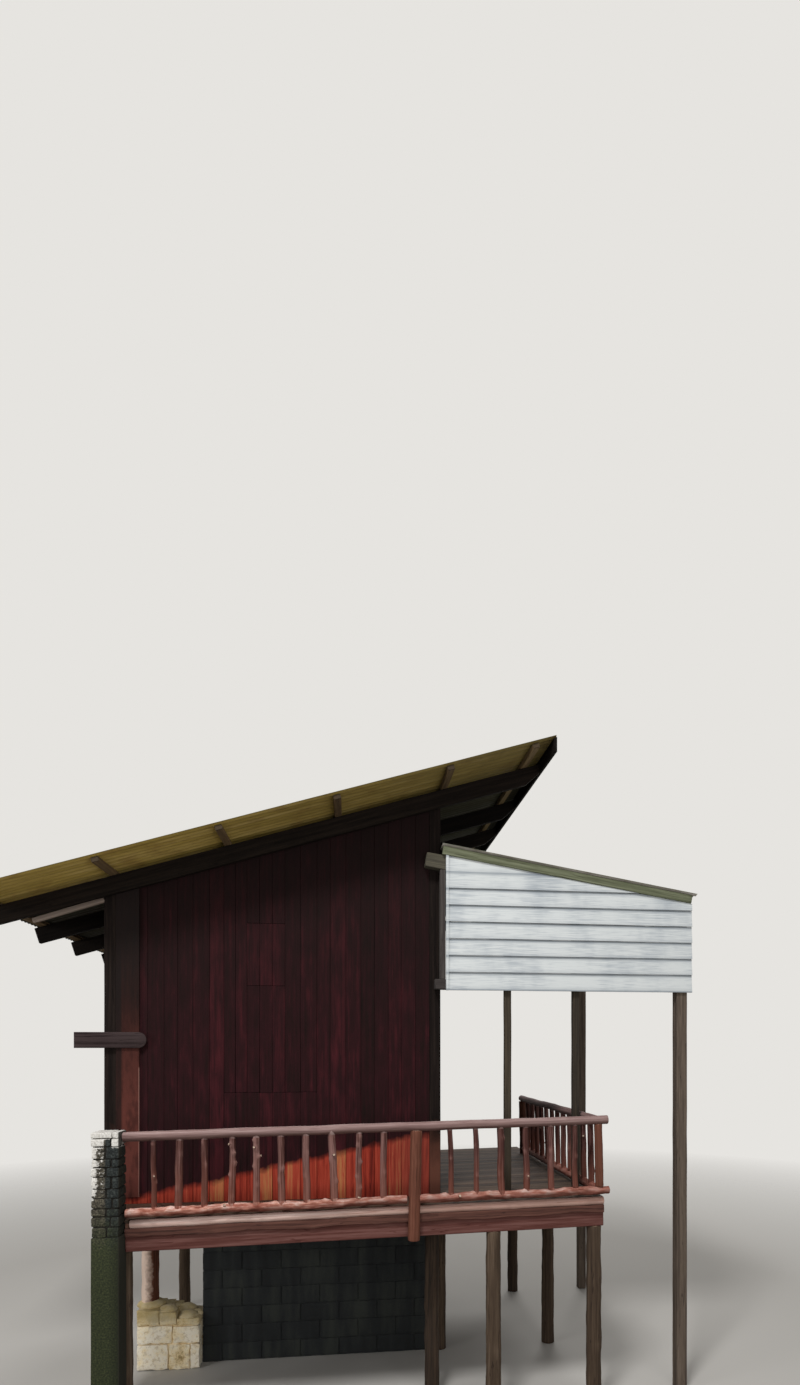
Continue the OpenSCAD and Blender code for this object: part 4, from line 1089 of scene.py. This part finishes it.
def sheet_metal(name, shades, stain, rough, metal=0.25):
    """Galvanised sheet gone dull: grey spangle, with rust and dirt carried down the waves."""
    made = material(name)
    grain = node(made, "Attribute", take=1, attribute_name="grain")
    tone = node(made, "Attribute", take=2, attribute_name="tone")
    runs = marks(made, grain, (1.1, 16, 16), 4, 0.65)
    patches = node(made, "TexNoise", {"Vector": grain, "Scale": 5, "Detail": 4})
    skin = node(made, "ValToRGB", {"Fac": summed(made, runs, (tone, 0.18))},
                stops=list(zip((0.42, 0.60, 0.76), shades)))
    surface(made, skin, rough, patches, 0.3, 0.002, metal=metal)
    rust = node(made, "ValToRGB", {"Fac": patches}, stops=((0.52, "#000000"), (0.70, "#ffffff")))
    rust = node(made, "Math", {0: rust, 1: runs}, operation="MULTIPLY")
    stained(made, rust, stain)
    return made


sheet_top = sheet_metal("dull_galvanised_sheet", ("#6f7068", "#8f9087", "#a9aaa0"), "#6b4a35", 0.62)
sheet_under = sheet_metal("tanned_sheet_underside", ("#a0883f", "#bda151", "#d0b56c"), "#8f6d32", 0.75, 0.0)
# Only the front overhang's underside keeps its tan; further in and towards the high eave it is painted
# shade.
spot, across, deep, _ = places(sheet_under)
cloud = node(sheet_under, "TexNoise", {"Vector": spot, "Scale": 3, "Detail": 4})
inner = node(sheet_under, "MapRange", {"Value": deep, "From Min": -1.36, "From Max": -1.26})
end = summed(sheet_under, across, (cloud, 0.9))
end = node(sheet_under, "MapRange", {"Value": end, "From Min": -1.2, "From Max": 2.1, "To Max": 0.7})
dark = node(sheet_under, "Math", {0: inner, 1: end}, operation="MAXIMUM")
stained(sheet_under, dark, "#302c1b")
chance = Random(83)
piece = started()
ends = [(x + w * sin(roof_slope)) / cos(roof_slope) for x, w in ((-0.970, 0.060), (high_eave, 0.040))]
corrugated(piece, ROOF, (ends[0], roof_front, purlin), (ends[1], roof_back, purlin + 0.020), 5, chance)
pins(piece, ROOF, purlin_rows, roof_front, 3.500, 0.0585, chance)
finished("roof_covering", piece, "roof_sheets", "roof_sheet", sheet_top, sheet_under)


# Lean-to frame over the side porch. Its rafters fall to the right from a ledger on the cabin to
# a beam on outer posts; purlins stand on edge across them, and a board covers their front ends.
lean_slope, lean_head = radians(9.2), 4.895
LEAN = CABIN @ Matrix.Translation((cabin_wide, 0, lean_head)) @ Matrix.Rotation(lean_slope, 4, "Y")


def lean_z(x):
    """Height of the lean-to rafters' upper sides above the cabin's x."""
    return lean_head - (x - cabin_wide) * tan(lean_slope)


def lean_s(x, n=0.0):
    """Distance down the lean-to slope of a point above the cabin's x, n over the rafters."""
    return (x - cabin_wide - n * sin(lean_slope)) / cos(lean_slope)


# Old sawn timber: olive grey on the front rafter, which gets the rain, and browner behind it.
grey_timber = wood("silver_grey_timber", ("#23211b", "#3a372e", "#4f4b3f", "#66614f"), 0.020, 0.005, 0.86)
shade_timber = wood("grey_brown_timber", ("#322a24", "#4f443b", "#6b5e52", "#83786c"), 0.026, 0.005, 0.86)
chance = Random(91)
lean_deep, lean_end, lean_front, lean_purlin = 0.125, 5.220, -0.100, 0.075
drop = lean_deep / cos(lean_slope)
piece = started()
timber(piece, LEAN, (lean_s(2.750), lean_front, -lean_deep), (lean_s(lean_end), 0.0, 0.0), chance,
       0.005, 0.002, 0.25, 0.7)
finished("front_lean_rafter", piece, "lean_front_rafter", "grey_wood", grey_timber)

piece = started()
for y in (0.980, 1.960, 2.940):
    timber(piece, LEAN, (lean_s(porch_side, -lean_deep), y, -lean_deep), (lean_s(lean_end), y + 0.060, 0.0),
           chance)
finished("inner_lean_rafters", piece, "lean_rafters", "grey_wood", shade_timber)

ledger_top = lean_head - drop
piece = started()
timber(piece, CABIN, (cabin_wide, 0, ledger_top - 0.090), (2.930, cabin_deep, ledger_top + 0.03), chance)
saw(piece, LEAN, -lean_deep)
finished("wall_ledger", piece, "lean_ledger", "grey_wood", shade_timber)

post_side, beam_side = 5.080, 5.180
beam_z = lean_z(beam_side) - drop - 0.100
piece = started()
timber(piece, CABIN, (post_side, lean_front, beam_z), (beam_side, cabin_deep, beam_z + 0.14), chance, 0.005)
saw(piece, LEAN, -lean_deep)
finished("outer_beam", piece, "lean_eave_beam", "grey_wood", shade_timber)

first, last = 2.940, 5.200
lean_rows = [lean_s(first + i * (last - first) / 3, lean_purlin) for i in range(4)]
piece = started()
for s in lean_rows:
    timber(piece, LEAN, (s - 0.030, lean_front, 0.0), (s + 0.030, cabin_deep, lean_purlin), chance)
finished("lean_battens", piece, "lean_purlins", "grey_wood", shade_timber)

mossy = wood("mossy_verge_board", ("#3c3f2d", "#62664f", "#80846c", "#9b9e89"), 0.018, 0.005, 0.9)
piece = started()
timber(piece, LEAN, (lean_s(porch_side), -0.132, 0.0),
       (lean_s(lean_end, lean_purlin), lean_front, lean_purlin), chance, 0.004, 0.002, 0.15)
finished("verge_cover", piece, "lean_verge_board", "grey_wood", mossy)

# Its sheets are like the main roof's, mossy above and bare below.
lean_top_skin = sheet_metal("mossy_galvanised_sheet", ("#6a7060", "#8b917f", "#a5a998"), "#5d5a3c", 0.7)
lean_under_skin = sheet_metal("bare_sheet_underside", ("#8d897e", "#b3ada2", "#d2ccc4"), "#6f6550", 0.7)
sheet_crest = lean_purlin + 0.020
piece = started()
corrugated(piece, LEAN, (lean_s(porch_side, lean_purlin), -0.150, lean_purlin),
           (lean_s(5.260, sheet_crest), 3.050, sheet_crest), 4, chance)
pins(piece, LEAN, lean_rows, -0.150, 3.0, sheet_crest - 0.0015, chance)
finished("lean_covering", piece, "lean_sheets", "roof_sheet", lean_top_skin, lean_under_skin)


# White boarding that closes the lean-to's front. Seven feather-edged boards, each lapping the
# one below, nailed to the studs and painted white; the roof's slope cuts the upper ones.
siding_foot, lap, lap_rise = 3.691, 0.149, 0.013

# Oil paint on softwood, brushed along the boards in marks drawn 4 mm wide: low sheen, cool white,
# clouded with dust. Painted shade darkens it blue-grey under each lap, and a little above each
# board's foot.
white_paint = material("brushed_white_oil_paint")
tone = node(white_paint, "Attribute", take=2, attribute_name="tone")
spot, _, _, height = places(white_paint)
brush = marks(white_paint, spot, (6, 6, 260), 2)
cloud = marks(white_paint, spot, (3.5, 3.5, 1.6), 3)
mix = summed(white_paint, brush, (cloud, 0.8), (tone, 0.12))
skin = node(white_paint, "ValToRGB", {"Fac": mix},
            stops=((0.68, "#a6adb3"), (0.90, "#c3c8ca"), (1.0, "#d2d6d6")))
surface(white_paint, skin, 0.5, brush, 0.35, 0.0006, 0.4)
level = node(white_paint, "Math", {0: height, 1: siding_foot + lap_rise}, operation="SUBTRACT")
level = node(white_paint, "Math", {0: level, 1: 1 / lap}, operation="MULTIPLY")
level = node(white_paint, "Math", {0: level}, operation="FRACT")
# Painted shade: a grey-blue band under each lap, and a fainter one above each board's foot.
dirt = node(white_paint, "MapRange", {"Value": level, "From Min": 0.76, "From Max": 0.94, "To Max": 0.60})
foot_shade = node(white_paint, "MapRange", {"Value": level, "From Min": 0.24, "From Max": 0.0, "To Max": 0.24})
dirt = node(white_paint, "Math", {0: dirt, 1: foot_shade}, operation="MAXIMUM")
stained(white_paint, dirt, "#5f6b78")
chance = Random(101)
siding_head = 5.0  # above the slope, which cuts the boards off
piece = started()
for i in range(7):
    foot = siding_foot + i * lap + (lap_rise if i else 0.0)
    head = siding_foot + lap_rise + (i + 1) * lap if i < 6 else siding_head
    timber(piece, CABIN, (2.915, -0.124 + chance.uniform(0, 0.002), foot + chance.uniform(0, 0.003)),
           (lean_end, lean_front, head), chance, 0.0015, 0.0015, 0.12, chance.uniform(0.35, 0.75),
           thin=0.014)
timber(piece, CABIN, (2.9152, -0.1265, 3.690), (2.940, -0.1005, siding_head), chance, 0.002, 0.001, 0.2, 0.9)
saw(piece, LEAN, 0)
finished("white_boarding", piece, "lean_siding", "white_boards", white_paint)


# Beam behind the foot of the boarding, with the porch posts and the outer posts. Sawn square;
# the slender posts stand on the deck and run on above the beam as studs.
foot_beam_wood = wood("dark_foot_beam", ("#181412", "#272120", "#383230", "#4c4743"), 0.026, 0.005, 0.85)
slim_wood = wood("tan_slim_post", ("#19150f", "#2c251c", "#3e3529", "#534839"), 0.016, 0.004, 0.8)
chance = Random(107)
foot_beam_z, foot_beam_top, slim = 3.700, 3.790, 0.060
piece = started()
timber(piece, CABIN, (2.820, lean_front, foot_beam_z), (post_side, 0.0, foot_beam_top), chance, 0.005, 0.002)
timber(piece, CABIN, (2.866, -0.096, foot_beam_top + clear), (2.914, -0.006, 4.765), chance, 0.004, 0.001)
finished("foot_beam", piece, "siding_foot_beam", "frame_wood", foot_beam_wood)

piece = started()
for x in (3.454, 4.090):
    deck_z = deck_top + (x - deck_pivot) * tan(deck_lean)
    timber(piece, CABIN, (x, -0.080, deck_z), (x + slim, -0.020, foot_beam_z), chance, 0.003, 0.002, 0.15)
    timber(piece, CABIN, (x, -0.080, foot_beam_top), (x + slim, -0.020, lean_z(x + slim) - drop), chance,
           0.003)
finished("slim_posts", piece, "porch_posts", "grey_wood", slim_wood)

piece = started()
for y in (lean_front, 2.900):
    timber(piece, CABIN, (post_side, y, 0), (beam_side, y + 0.100, beam_z), chance, 0.005, 0.003)
finished("outer_timbers", piece, "outer_posts", "stilt_wood", shade_timber)


# Bare name board on the front left corner. One plank with its right end sawn round, its face
# planed and unlettered, nailed to the cover board so that it stands out past the corner.
board_wood = wood("bare_name_board", ("#0b0808", "#15100f", "#241b1b", "#3e3333"),
                  0.016, 0.004, 0.8, contrast=1.5, split=0.2, shine=0.1)
half_high, board_long, board_thick = 0.0675, 0.5145, 0.020
piece = started()
member = bmesh.new()
bmesh.ops.create_circle(member, cap_ends=True, segments=40, radius=half_high)
for v in member.verts:
    if v.co.x < 0.001:
        v.co.x = -board_long if v.co.x < -0.001 else 0.0
corners = [v for v in member.verts if v.co.x < -0.5]
bmesh.ops.dissolve_verts(member, verts=[v for v in corners if abs(v.co.y) < 0.064])
for v in member.verts:
    if v.co.x < -0.5:
        v.co.y = half_high if v.co.y > 0 else -half_high
thick = bmesh.ops.extrude_face_region(member, geom=member.faces[:])
bmesh.ops.translate(member, verts=[v for v in thick["geom"] if isinstance(v, bmesh.types.BMVert)],
                    vec=(0, 0, board_thick))
bmesh.ops.recalc_face_normals(member, faces=member.faces[:])
ease(member, [e for e in member.edges if e.calc_face_angle(0) > 1.2], 0.003)
grain = member.verts.layers.float_vector.new("grain")
for v in member.verts:
    v[grain] = v.co + Vector((3.1, 0.2, 0))
heart = (0.352 - half_high, -0.018, 3.177 + half_high)
lay(piece, member, CABIN @ Matrix.Translation(heart) @ Matrix.Rotation(radians(90), 4, "X"), 0.5)
finished("bare_board", piece, "name_board", "grey_wood", board_wood)
